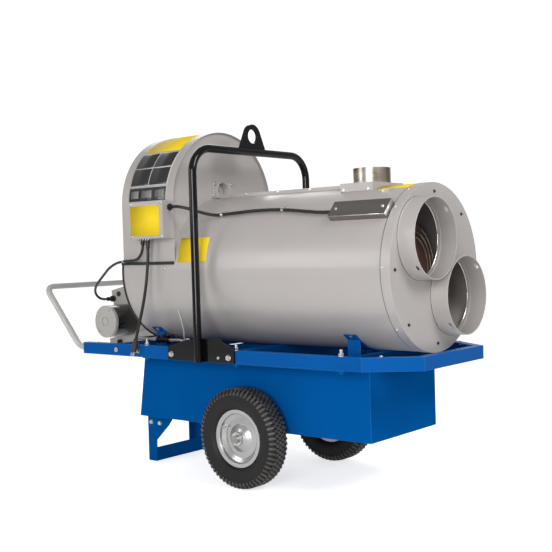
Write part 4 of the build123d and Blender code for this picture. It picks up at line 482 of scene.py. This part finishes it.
def turn(bm, profile, place, count):
    """Faces of a closed profile of (radius, height) pairs turned about a matrix's Z axis."""
    rings = []
    for k in range(count):
        a = 2 * pi * k / count
        rings.append([bm.verts.new(place @ Vector((r * cos(a), r * sin(a), h))) for r, h in profile])
    for k in range(count):
        here, there = rings[k], rings[(k + 1) % count]
        for i in range(len(profile)):
            j = (i + 1) % len(profile)
            bm.faces.new((here[i], there[i], there[j], here[j]))


def turned(name, profile, place, count, material, **more):
    """A piece turned from one profile."""
    bm = bmesh.new()
    turn(bm, profile, place, count)
    return add_piece(name, bm, material, **more)


def toward(at, out):
    """A matrix at a point whose Z axis points outwards."""
    z = Vector(out).normalized()
    x = Vector((0, 0, 1)).cross(z)
    if x.length < 1e-4:                # straight up or down leaves no level direction
        x = Vector((1, 0, 0)).cross(z)
    x.normalize()
    place = Matrix((x, z.cross(x), z)).transposed().to_4x4()
    place.translation = Vector(at)
    return place


print("helpers ready")

# %% [markdown]
# ## Sleeves where the cords leave the control box
#
# A cable gland squeezes the cord in a soft sleeve that tapers off along it, so the bend does not
# all fall on one place. The shape is round all the way, so it is turned from a profile.

# %% Turn the sleeves
DOWN = (0, 0, -1)
SLEEVE_GAP = 0.0002                    # between a cord and its sleeve


def sleeve(name, at, cord_radius, length):
    """A tapered sleeve that hangs from a gland round the cord."""
    r = cord_radius + SLEEVE_GAP
    profile = [(r, 0.0), (r + 0.0034, 0.0), (r + 0.0034, 0.004), (r + 0.0026, 0.008),
               (r + 0.0021, length * 0.6), (r + 0.0012, length), (r, length)]
    turned(name, profile, toward(at, DOWN), 32, PLASTIC, slot="black_plastic")


sleeve("mains_sleeve", POWER_ROUTE[0], MAINS_CORD_R, 0.028)
sleeve("burner_sleeve", BURNER_ROUTE[0], BURNER_CORD_R, 0.0135)
print("sleeves made")

# %% [markdown]
# ## Bright nuts on the glands
#
# The nut that closes each gland is plated and shines under the grey box. The CAD's fittings are
# one black node, so each nut is a turned ring of six sides that lies just over the gland's own
# hexagon. Flat shading keeps its sides crisp.

# %% Put bright nuts on the glands
NUT_TOP, NUT_HEIGHT = 1.0172, 0.0070
NUT_OVER, NUT_WALL = 0.0003, 0.0012    # past the gland's corners, and inwards from its flats
CHAMFER_IN, CHAMFER_UP = 0.0016, 0.0012


def gland_nut(name, route, flats):
    """A plated hexagon nut with chamfered ends, just over a gland's own hexagon."""
    corner = flats / 2 / cos(radians(30)) + NUT_OVER
    hole = flats / 2 - NUT_WALL
    profile = [(hole, 0.0), (corner - CHAMFER_IN, 0.0), (corner, CHAMFER_UP),
               (corner, NUT_HEIGHT - CHAMFER_UP), (corner - CHAMFER_IN, NUT_HEIGHT), (hole, NUT_HEIGHT)]
    turned(name, profile, toward((*route[0][:2], NUT_TOP), DOWN), 6, CHROME, smooth=False)


gland_nut("mains_gland_nut", POWER_ROUTE, 0.026)
gland_nut("burner_gland_nut", BURNER_ROUTE, 0.025)
print("gland nuts on")

# %% [markdown]
# ## Seams and inner rings
#
# Where two sheets meet, sealant shows as a thin dark line: behind the end cap's rim and round the
# foot of each outlet collar. Inside each collar the edge of the cap's hole is rolled into a bright
# ring, and deeper in, three beads stiffen the round end of the combustion chamber. All of them
# are turned from small profiles about the drum's direction, which keeps them exactly round.

# %% Turn the seams, rings and beads
OUTLETS = {"upper": (-0.111, 0.980), "lower": (0.111, 0.760)}
CAP_FACE, CAP_RIM, CHAMBER_END = 0.727, 0.6868, 0.615
BEAD_RADII = (0.128, 0.150, 0.172)
RING_DEPTH = 0.0150                    # how far the rolled ring starts behind the cap's face


def ring_about_x(name, x, y, z, profile, material):
    """A closed profile of (radius, forward) pairs turned about a line along X."""
    turned(name, profile, toward((x + X_SHIFT, y, z), (1, 0, 0)), 144, material)


ring_about_x("cap_seam", CAP_RIM, 0, DRUM_Z,
             [(0.3200, 0), (0.3217, 0), (0.3213, 0.0021), (0.3200, 0.0021)], TRIM)
for k, r in enumerate(BEAD_RADII):
    ring_about_x(f"chamber_bead_{k}", CHAMBER_END, 0, DRUM_Z,
                 [(r - 0.0045, 0), (r - 0.0028, 0.0022), (r, 0.0032), (r + 0.0028, 0.0022),
                  (r + 0.0045, 0)], FLUE)
for name, (y, z) in OUTLETS.items():
    ring_about_x(name + "_collar_seam", CAP_FACE, y, z,
                 [(0.1553, 0.0), (0.1566, 0.0), (0.1556, 0.0011), (0.1553, 0.0011)], TRIM)
    ring_about_x(name + "_inner_ring", CAP_FACE - RING_DEPTH, y, z,
                 [(0.1496, 0.0), (0.1470, 0.0006), (0.1455, 0.0030), (0.1462, 0.0054),
                  (0.1496, 0.0064)], CHROME)
print("seams and rings turned")

# %% [markdown]
# ## The tyres
#
# A cart tyre has a smooth rounded wall, a band of lugs on each shoulder and staggered blocks
# between them. The CAD's tyre has only its main shape. It is replaced by two pieces: a carcass,
# which is a finer profile turned about the axle, and a tread.

# %% Turn the carcass
AXLE_Z = 0.203
TRACK = 0.307                          # from the cart's middle to a wheel's middle
WHEELS = {"left": 1, "right": -1}
CARCASS = [(0.1178, 0.0300), (0.1215, 0.0372), (0.1270, 0.0418), (0.1370, 0.0462), (0.1500, 0.0486),
           (0.1610, 0.0487), (0.1700, 0.0474), (0.1765, 0.0462), (0.1790, 0.0468), (0.1808, 0.0462),
           (0.1860, 0.0440), (0.1915, 0.0405), (0.1950, 0.0345), (0.1966, 0.0240), (0.1970, 0.0000)]
SEAT_R, SEAT_HALF = 0.1022, 0.0300     # where the tyre sits on its rim


def carcass(name, side):
    """The tyre without its tread."""
    outer = CARCASS + [(r, -h) for r, h in reversed(CARCASS[:-1])]
    inner = [(SEAT_R, -SEAT_HALF), (SEAT_R, SEAT_HALF)]
    place = Matrix.Translation((X_SHIFT, side * TRACK, AXLE_Z)) @ Matrix.Rotation(radians(-90), 4, "X")
    return turned(name + "_tyre_carcass", outer + inner, place, 144, RUBBER, slot="tyre_rubber",
                  body=name + "_wheel")


carcasses = {side: carcass(name, side) for name, side in WHEELS.items()}
print("carcass radius", CARCASS[-1][0])

# %% [markdown]
# ## One block and one lug
#
# The tread repeats two moulded shapes, both narrower at the top so that they leave the mould. They
# are the same all the way round, so one small mesh of each is enough. Each reaches a little
# below its origin, which sinks it into the carcass and leaves no gap under it.

# %% Shape one block and one lug
STAMP_SINKS = 0.0015


def stamp(name, corners, height, taper):
    """A low tapered block on an outline of (along, across) corners, centred on its own origin."""
    bm = bmesh.new()
    base = [bm.verts.new((x, y, -STAMP_SINKS)) for x, y in corners]
    top = [bm.verts.new((x * taper, y * taper, height)) for x, y in corners]
    bm.faces.new(top)
    bm.faces.new(list(reversed(base)))
    for i in range(len(corners)):
        j = (i + 1) % len(corners)
        bm.faces.new((base[i], base[j], top[j], top[i]))
    return bpy.data.objects.new(name, as_mesh(name, bm))


BLOCK_OUTLINE = [(-0.0075, -0.0030), (-0.0035, -0.0062), (0.0055, -0.0062), (0.0075, 0.0010),
                 (0.0035, 0.0062), (-0.0055, 0.0062)]
LUG_OUTLINE = [(-0.0052, -0.0150), (0.0052, -0.0150), (0.0042, 0.0150), (-0.0042, 0.0150)]
block = stamp("tread_block", BLOCK_OUTLINE, 0.0058, 0.90)
lug = stamp("tread_lug", LUG_OUTLINE, 0.0050, 0.88)
print("block and lug shaped")

# %% [markdown]
# ## A tree for the tread
#
# The shapes repeat round the wheel a few hundred times. A script could copy them one by one, but
# Geometry Nodes say it once: points stand on a circle round the axle, all a pitch apart and moved
# by half a pitch where wanted, and the shape stands on each point, turned outwards. The first and
# the last part of such a tree come back for the studs, so two helpers hold them.

# %% Build the tread tree
def new_tree(name, sockets):
    """A Geometry Nodes tree with these inputs and one geometry to give back."""
    tree = bpy.data.node_groups.new(name, "GeometryNodeTree")
    tree.interface.new_socket("Geometry", in_out="OUTPUT", socket_type="NodeSocketGeometry")
    for label, kind in sockets.items():
        tree.interface.new_socket(label, in_out="INPUT", socket_type="NodeSocket" + kind)
    return tree, tree.nodes.new("NodeGroupInput").outputs


def stand_on(tree, given, points, rotation=None):
    """Ends a tree: its stamp on each point, made real and given its material."""
    nodes, links = tree.nodes, tree.links
    thing = nodes.new("GeometryNodeObjectInfo")
    set_on = nodes.new("GeometryNodeInstanceOnPoints")
    real = nodes.new("GeometryNodeRealizeInstances")
    painted = nodes.new("GeometryNodeSetMaterial")
    out = nodes.new("NodeGroupOutput")
    links.new(given["Stamp"], thing.inputs["Object"])
    links.new(points.outputs[0], set_on.inputs["Points"])
    links.new(thing.outputs["Geometry"], set_on.inputs["Instance"])
    if rotation is not None:
        links.new(rotation.outputs[0], set_on.inputs["Rotation"])
    links.new(set_on.outputs[0], real.inputs[0])
    links.new(real.outputs[0], painted.inputs["Geometry"])
    links.new(given["Material"], painted.inputs["Material"])
    links.new(painted.outputs[0], out.inputs[0])


def tread_tree():
    """Geometry Nodes: a row of stamps round an axle along Y."""
    tree, given = new_tree("tread_rows", {
        "Stamp": "Object", "Material": "Material", "Count": "Int", "Radius": "Float",
        "Across": "Float", "Half Pitch": "Float", "Lean": "Float", "Centre": "Vector"})
    nodes, links = tree.nodes, tree.links
    index = nodes.new("GeometryNodeInputIndex")
    shifted = calculator(nodes, "ADD")
    angle = calculator(nodes, "MULTIPLY")
    pitch = calculator(nodes, "DIVIDE")
    pitch.inputs[0].default_value = 2 * pi
    links.new(given["Count"], pitch.inputs[1])
    links.new(index.outputs[0], shifted.inputs[0])
    links.new(given["Half Pitch"], shifted.inputs[1])
    links.new(shifted.outputs[0], angle.inputs[0])
    links.new(pitch.outputs[0], angle.inputs[1])
    place = nodes.new("ShaderNodeCombineXYZ")
    for operation, axis in (("SINE", "X"), ("COSINE", "Z")):
        share = calculator(nodes, operation)
        reach = calculator(nodes, "MULTIPLY")
        links.new(angle.outputs[0], share.inputs[0])
        links.new(share.outputs[0], reach.inputs[0])
        links.new(given["Radius"], reach.inputs[1])
        links.new(reach.outputs[0], place.inputs[axis])
    links.new(given["Across"], place.inputs["Y"])
    moved = calculator(nodes, "ADD", "ShaderNodeVectorMath")
    links.new(place.outputs[0], moved.inputs[0])
    links.new(given["Centre"], moved.inputs[1])
    points = nodes.new("GeometryNodePoints")
    links.new(given["Count"], points.inputs["Count"])
    links.new(moved.outputs[0], points.inputs["Position"])
    spin = nodes.new("ShaderNodeCombineXYZ")
    links.new(given["Lean"], spin.inputs["X"])
    links.new(angle.outputs[0], spin.inputs["Y"])
    stand_on(tree, given, points, spin)
    return tree


TREAD = tread_tree()
print("tread tree inputs", [i.name for i in TREAD.interface.items_tree if i.in_out == "INPUT"])

# %% [markdown]
# ## From tree to mesh
#
# A tree stays live on its object and runs again with every change. The tread has to be plain mesh
# that rides on its wheel, so each tree runs once on an empty mesh and only the result is kept.
# Rows that were grown one by one are then joined into one piece.

# %% Run a tree and keep its mesh
def grown(name, tree, values):
    """The plain mesh that a tree makes from its inputs."""
    seed = in_scene(name, bpy.data.meshes.new(name))
    modifier = seed.modifiers.new("nodes", "NODES")
    modifier.node_group = tree
    for item in tree.interface.items_tree:
        if item.in_out == "INPUT" and item.name in values:
            modifier[item.identifier] = values[item.name]
    bpy.context.view_layer.update()
    graph = bpy.context.evaluated_depsgraph_get()
    mesh = bpy.data.meshes.new_from_object(seed.evaluated_get(graph))
    seed.modifiers.remove(modifier)
    seed.data = mesh
    return seed


def joined(name, pieces, body):
    """Several grown meshes as one piece that rides on a body."""
    bm = bmesh.new()
    for piece in pieces:
        bm.from_mesh(piece.data)
    mesh = pieces[0].data.copy()
    bm.to_mesh(mesh)
    bm.free()
    whole = in_scene(name, mesh)
    for piece in pieces:
        bpy.data.objects.remove(piece)
    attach(whole, body)
    return whole


print("grow and join ready")

# %% [markdown]
# ## Both treads
#
# Four rows of blocks run round each tyre, every other one turned by half a pitch, and one row of
# lugs leans outwards on each shoulder. Everything but the wheel's place is the same on both sides,
# so the rows are one list and the wheels are a loop round it.

# %% Lay the tread round both wheels
BLOCK_ROWS = [(-0.0225, 0.0), (-0.0075, 0.5), (0.0075, 0.0), (0.0225, 0.5)]
LUG_ACROSS, LUG_LEAN = 0.0395, radians(-52)
BLOCKS = {"Stamp": block, "Count": 66, "Radius": 0.1968, "Lean": 0.0}
LUGS = {"Stamp": lug, "Count": 60, "Radius": 0.1878}
ROWS = [{**BLOCKS, "Across": across, "Half Pitch": shift} for across, shift in BLOCK_ROWS]
ROWS += [{**LUGS, "Across": s * LUG_ACROSS, "Half Pitch": shift, "Lean": s * LUG_LEAN}
         for s, shift in ((1, 0.5), (-1, 0.0))]
for name, side in WHEELS.items():
    shared = {"Material": TREAD_RUBBER, "Centre": (X_SHIFT, side * TRACK, AXLE_Z)}
    rows = [grown(f"row{i}", TREAD, {**shared, **row}) for i, row in enumerate(ROWS)]
    tread = joined(name + "_tread", rows, name + "_wheel")
    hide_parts(name + "_tyre")
    print(tread.name, len(tread.data.polygons), "faces")

# %% [markdown]
# ## Plain colour panels
#
# The hood, the control box and the drum carry plain colour panels. A panel is a thin sheet that
# follows what it is stuck to: the hood's arch, the drum's curve or a flat face. One helper lays a
# grid of points between two edges and gives the sheet its thickness.

# %% A helper for panels
FILM, PLATE = 0.0003, 0.0004           # how thick a layer of film and a single plate are


def film(name, colour, tone, rough, **more):
    """The finish of a plain plastic film, whose edges are too thin to be rounded."""
    return finish(name, colour, tone, rough, 0.0, (500, 0.03), edge=0, **more)


YELLOW = film("yellow_film", (0.76, 0.55, 0.020), 0.04, (0.50, 0.60), specular=0.10)
INK = film("black_film", (0.018, 0.018, 0.019), 0.15, (0.28, 0.38), coat=0.1)
PALE = film("pale_film", (0.50, 0.50, 0.47), 0.05, (0.32, 0.42), coat=0.1)
GREY_FILM = film("grey_film", (0.16, 0.16, 0.155), 0.10, (0.32, 0.42), coat=0.1)


def skin(name, spot, us, vs, lift, material):
    """A thin panel: spot(u, v) gives a point and the direction out of the surface there."""
    bm = bmesh.new()
    spots = [[spot(u, v) for v in vs] for u in us]
    top = [[bm.verts.new(Vector(p) + Vector(n) * lift) for p, n in row] for row in spots]
    low = [[bm.verts.new(Vector(p)) for p, n in row] for row in spots]
    for i in range(len(us) - 1):
        for j in range(len(vs) - 1):
            bm.faces.new((top[i][j], top[i + 1][j], top[i + 1][j + 1], top[i][j + 1]))
            bm.faces.new((low[i][j], low[i][j + 1], low[i + 1][j + 1], low[i + 1][j]))
    for i in range(len(us) - 1):
        for j in (0, len(vs) - 1):
            bm.faces.new((top[i][j], low[i][j], low[i + 1][j], top[i + 1][j]))
    for j in range(len(vs) - 1):
        for i in (0, len(us) - 1):
            bm.faces.new((top[i][j], top[i][j + 1], low[i][j + 1], low[i][j]))
    add_piece(name, bm, material)


def steps(low, high, count):
    """Evenly spaced values from low to high."""
    return [low + (high - low) * k / count for k in range(count + 1)]


def on_round(radius, height):
    """Places on a cylinder along X, by x and by degrees above level on the control side."""
    def spot(x, degrees):
        a = radians(degrees)
        out = (0, -cos(a), sin(a))
        return (x, radius * out[1], height + radius * out[2]), out
    return spot


print("panel helper ready")

# %% [markdown]
# ## Panels on the hood
#
# The hood carries a yellow panel at its shoulder and, below it, dark ones with pale edges. A pale
# sheet with darker ones on top gives those edges without an image: each layer stands one film's
# thickness further out.

# %% Stick the panels on the hood
HOOD = on_round(HOOD_R, HOOD_Z)


def hood_panel(name, x0, x1, low, high, layer, material):
    """A panel on the arch: two x values from the axle, two heights in degrees, and its layer."""
    skin(name, HOOD, (x0 + X_SHIFT, x1 + X_SHIFT), steps(low, high, 12), FILM * layer, material)


hood_panel("hood_yellow_panel", -0.608, -0.396, 47.5, 79.0, 1, YELLOW)
hood_panel("hood_main_border", -0.622, -0.386, 15.0, 46.3, 1, PALE)
for k, (x0, x1) in enumerate(((-0.616, -0.508), (-0.503, -0.392))):
    hood_panel(f"hood_upper_block_{k}", x0, x1, 31.0, 45.5, 2, INK)
    hood_panel(f"hood_lower_block_{k}", x0, x1, 15.8, 30.0, 2, INK)
hood_panel("hood_strip_border", -0.622, -0.386, 2.8, 14.2, 1, PALE)
hood_panel("hood_strip", -0.618, -0.390, 3.3, 13.7, 2, INK)
for k, (x0, x1) in enumerate(((-0.606, -0.560), (-0.540, -0.478), (-0.458, -0.402))):
    hood_panel(f"hood_strip_block_{k}", x0, x1, 5.6, 11.4, 3, GREY_FILM)
print("hood panels stuck")

# %% [markdown]
# ## Panels on the control box and the drum
#
# Three more yellow panels: one fills the control box's lid between its screws, one lies on the
# drum's side and one over its crest. Only the surface they follow is different, so the same
# helper takes a flat rule for the lid and the round one for the drum.

# %% Stick the panels on the control box and drum
LID_FACE = -0.387
DRUM = on_round(DRUM_R, DRUM_Z)


def on_lid(x, z):
    """Places on the lid's flat face."""
    return (x, LID_FACE, z), (0, -1, 0)


for name, spot, x0, x1, heights in (
        ("lid_yellow_panel", on_lid, -0.5405, -0.362, (1.0295, 1.1565)),
        ("drum_yellow_panel", DRUM, -0.333, -0.168, steps(7.6, 26.9, 10)),
        ("crest_yellow_panel", DRUM, 0.534, 0.687, steps(71, 109, 16))):
    skin(name, spot, (x0 + X_SHIFT, x1 + X_SHIFT), heights, PLATE, YELLOW)
print("other panels stuck")

# %% [markdown]
# ## Painted light on the switch cover's folds
#
# The cover over the limit switches is dark on its broad top, but its end and the turned lip along its
# lower edge catch the light. That light is painted: both are thin sheets of a brighter metal than
# the cover's, laid on the cover's own faces, placed by the cover's angle round the drum, its width
# and how far it stands out.

# %% Lay the painted lit end sheet and lip
COVER_AT, COVER_HALF, COVER_TOP = radians(42), 0.037, DRUM_R + 0.025
COVER_ENDS = (0.432 + X_SHIFT, 0.685 + X_SHIFT)
LIP_HIGH = 0.0045
outward = Vector((0, -cos(COVER_AT), sin(COVER_AT)))
upward = Vector((0, sin(COVER_AT), cos(COVER_AT)))


def cover_place(x, out, along):
    """A point by its x, its distance from the drum's middle and its place along the cover's width."""
    return Vector((x, 0, DRUM_Z)) + outward * out + upward * along


# the end sheet and the lip are brighter metal than the cover: painted light on its folds
skin("cover_end_sheet", lambda along, out: (cover_place(COVER_ENDS[1], out, along), (1, 0, 0)),
     (-COVER_HALF, COVER_HALF), (DRUM_R + 0.0015, COVER_TOP), FILM, COVER_END_PAINTED_LIGHT)
skin("cover_lip", lambda x, out: (cover_place(x, out, -COVER_HALF), -upward), COVER_ENDS,
     (COVER_TOP - LIP_HIGH, COVER_TOP), PLATE, CHROME)
print("cover folds laid")

# %% [markdown]
# ## Cable ties
#
# Two white nylon ties hold lines to the cart: one where the burner's cable passes the drum's rear
# corner, one round the pick-up pipe with its ends left long. A tie is a flat strap bent round,
# with a small square lock. The ring is turned, and the tails are short straps along a few points.

# %% Fasten the ties
def strap(name, path, width, thick, across):
    """A flat strap along points: across is its width's direction."""
    bm = bmesh.new()
    wide = Vector(across).normalized() * width / 2
    rows = []
    for i, point in enumerate(path):
        ahead_of = Vector(path[min(i + 1, len(path) - 1)]) - Vector(path[max(i - 1, 0)])
        out = ahead_of.normalized().cross(wide.normalized()) * thick / 2
        rows.append([bm.verts.new(Vector(point) + s * wide + t * out)
                     for s, t in ((-1, -1), (1, -1), (1, 1), (-1, 1))])
    for a, b in zip(rows, rows[1:]):
        for i in range(4):
            j = (i + 1) % 4
            bm.faces.new((a[i], a[j], b[j], b[i]))
    bm.faces.new(rows[0])
    bm.faces.new(list(reversed(rows[-1])))
    add_piece(name, bm, NYLON)


TIE_HALF, TIE_THICK = 0.0024, 0.0012
LOCK_SIZE, LOCK_OUT, LOCK_ROUND = (0.005, 0.006, 0.0065), 0.0035, 0.0008


def tie_ring(name, centre, along, radius):
    """A strap bent into a ring round a line, with its lock."""
    place = toward(centre, along)
    outer = radius + TIE_THICK
    bm = bmesh.new()
    profile = [(radius, -TIE_HALF), (outer, -TIE_HALF), (outer, TIE_HALF), (radius, TIE_HALF)]
    turn(bm, profile, place, 28)
    lock_place = place @ Matrix.Translation((radius + LOCK_OUT, 0, 0)) @ Matrix.Diagonal((*LOCK_SIZE, 1))
    lock = bmesh.ops.create_cube(bm, size=1, matrix=lock_place)
    edges = list({e for v in lock["verts"] for e in v.link_edges})
    bmesh.ops.bevel(bm, geom=edges, offset=LOCK_ROUND, segments=2, affect="EDGES")
    add_piece(name, bm, NYLON)


tie_ring("pipe_tie", (-0.185, -0.222, 0.553), (0, 0, 1), 0.0082)
TAILS_START = (-0.185, -0.2315, 0.553)
LONG_TAIL = [TAILS_START, (-0.168, -0.242, 0.578), (-0.158, -0.252, 0.612), (-0.156, -0.266, 0.660),
             (-0.159, -0.280, 0.706)]
SHORT_TAIL = [TAILS_START, (-0.172, -0.239, 0.572), (-0.154, -0.244, 0.582), (-0.132, -0.246, 0.582)]
TAIL_SECTION = (0.0038, 0.0013)
strap("pipe_tie_tail_0", LONG_TAIL, *TAIL_SECTION, (1, 0, 0.3))
strap("pipe_tie_tail_1", SHORT_TAIL, *TAIL_SECTION, (0, 0.2, 1))
tie_ring("cable_tie", (-0.427, -0.3414, 0.9227), (-1, 0.11, -0.04), 0.0063)
print("ties fastened")

# %% [markdown]
# ## Threads on the studs
#
# The tank hangs on six long studs whose ends stand clear of their nuts. A thread is a fine
# repeat, so Geometry Nodes stack rings along each end. Rings read as a thread at this size, and
# they close more simply than a true helix.

# %% Grow the threads
def thread_tree():
    """Geometry Nodes: a stack of rings from a given foot upwards."""
    tree, given = new_tree("stud_threads", {"Stamp": "Object", "Material": "Material",
                                            "Turns": "Int", "Pitch": "Float", "Foot": "Vector"})
    nodes, links = tree.nodes, tree.links
    rise = nodes.new("ShaderNodeCombineXYZ")
    stack = nodes.new("GeometryNodeMeshLine")
    links.new(given["Pitch"], rise.inputs["Z"])
    links.new(given["Turns"], stack.inputs["Count"])
    links.new(given["Foot"], stack.inputs["Start Location"])
    links.new(rise.outputs[0], stack.inputs["Offset"])
    stand_on(tree, given, stack)
    return tree


STUD_Y, STUD_FOOT = 0.335, 0.5700
STUDS = [(x, side * STUD_Y) for x in (-0.517, 0.002, 0.518) for side in (-1, 1)]
THREAD_TURNS, THREAD_PITCH = 8, 0.0017
ring = bmesh.new()
turn(ring, [(0.0058, -0.0009), (0.0066, 0.0), (0.0058, 0.0009)], Matrix.Identity(4), 18)
thread = {"Stamp": bpy.data.objects.new("thread_ring", as_mesh("thread_ring", ring)),
          "Material": ZINC, "Turns": THREAD_TURNS, "Pitch": THREAD_PITCH}
THREADS = thread_tree()
stacks = [grown(f"stack{k}", THREADS, {**thread, "Foot": (x + X_SHIFT, y, STUD_FOOT)})
          for k, (x, y) in enumerate(STUDS)]
threads = joined("stud_threads", stacks, "cart")
print("thread faces", len(threads.data.polygons))

# %% [markdown]
# ## The floor
#
# The heater stands on a plain white sweep that curves up behind it, so no horizon shows. The floor
# is lit like everything else, and camera rays see it a little brighter, so it reaches white
# without more light on the object and still shows the shadow. Mirror-like surfaces see a part of
# that extra too, or they would reflect a grey room.

# %% Build the stage
FLOOR_EXTRA = (0.66, 0.30)             # what camera rays and what reflections see more
SWEEP = [(-3.2, 0.0), (5.0, 0.0), (6.0, 0.08), (6.8, 0.45), (7.3, 1.2), (7.5, 2.4), (7.5, 8.0)]
SWEEP_ACROSS = (-9.0, -3.0, 3.0, 9.0)
FLOOR_Z = -0.0005                      # just under the tyres, so no face lies in another


def extra_seen(tree, camera_level, mirror_level, base=0.0):
    """A strength that is higher for camera rays and for reflections than for light."""
    nodes, links = tree.nodes, tree.links
    rays = nodes.new("ShaderNodeLightPath")
    mirrored = calculator(nodes, "MAXIMUM")
    links.new(rays.outputs["Is Glossy Ray"], mirrored.inputs[0])
    links.new(rays.outputs["Is Transmission Ray"], mirrored.inputs[1])
    in_mirrors = calculator(nodes, "MULTIPLY_ADD")
    in_mirrors.inputs[1].default_value, in_mirrors.inputs[2].default_value = mirror_level, base
    links.new(mirrored.outputs[0], in_mirrors.inputs[0])
    in_camera = calculator(nodes, "MULTIPLY_ADD")
    in_camera.inputs[1].default_value = camera_level
    links.new(rays.outputs["Is Camera Ray"], in_camera.inputs[0])
    links.new(in_mirrors.outputs[0], in_camera.inputs[2])
    return in_camera.outputs[0]


def stage_paint():
    """A white floor that camera rays see as near white, and reflections a little less."""
    material = bpy.data.materials.new("white_sweep")
    material.use_nodes = True
    tree = material.node_tree
    tree.nodes.clear()
    out = tree.nodes.new("ShaderNodeOutputMaterial")
    lit = add_node(tree.nodes, "ShaderNodeBsdfDiffuse", Color=(0.82, 0.82, 0.82, 1))
    glow = tree.nodes.new("ShaderNodeEmission")
    tree.links.new(extra_seen(tree, *FLOOR_EXTRA), glow.inputs["Strength"])
    both = tree.nodes.new("ShaderNodeAddShader")
    tree.links.new(lit.outputs[0], both.inputs[0])
    tree.links.new(glow.outputs[0], both.inputs[1])
    tree.links.new(both.outputs[0], out.inputs[0])
    return material


sheet = bmesh.new()
middle = Vector((0.2, 0, FLOOR_Z))
rows = [[sheet.verts.new(middle + level_ahead * d + Vector((0, 0, h)) + level_right * w)
         for w in SWEEP_ACROSS] for d, h in SWEEP]
for a, b in zip(rows, rows[1:]):
    for i in range(len(SWEEP_ACROSS) - 1):
        sheet.faces.new((a[i], a[i + 1], b[i + 1], b[i]))
floor = in_scene("sweep", as_mesh("sweep", sheet))
floor.data.materials.append(stage_paint())
for polygon in floor.data.polygons:
    polygon.use_smooth = True
print("stage built")

# %% [markdown]
# ## The lamps
#
# One large soft lamp stands behind the camera a little above the drum, so the drum is lightest
# along its middle and darker towards its top and bottom. A second one high over the outlets models
# the cap, and two weaker ones open the shadows on the left and behind. The world gives the rest
# and, like the floor, looks brighter than it shines.

# %% Hang the lamps
DRUM_MIDDLE = Vector((0.2, 0.0, 0.85))
WORLD_SEEN = (0.62, 0.05, 0.35)        # more for camera rays, more for reflections, its own light


def lamp(name, place, size, power):
    """A square area lamp that faces the drum's middle."""
    data = bpy.data.lights.new(name, "AREA")
    data.size, data.energy = size, power
    in_scene(name, data).matrix_world = toward(place, Vector(place) - DRUM_MIDDLE)


lamp("key_lamp", (2.2, -4.6, 1.4), 2.2, 150)
lamp("outlet_lamp", (3.6, -0.4, 3.1), 1.6, 90)
lamp("left_lamp", (-2.4, -4.0, 1.9), 1.4, 25)
lamp("rear_lamp", (-3.2, 2.4, 2.6), 2.4, 50)
world = bpy.data.worlds.new("studio")
world.use_nodes = True
sky = world.node_tree.nodes["Background"]
sky.inputs["Color"].default_value = (1, 1, 1, 1)
world.node_tree.links.new(extra_seen(world.node_tree, *WORLD_SEEN), sky.inputs["Strength"])
bpy.context.scene.world = world
bpy.context.scene.view_settings.view_transform = "Standard"
print("lamps hung")
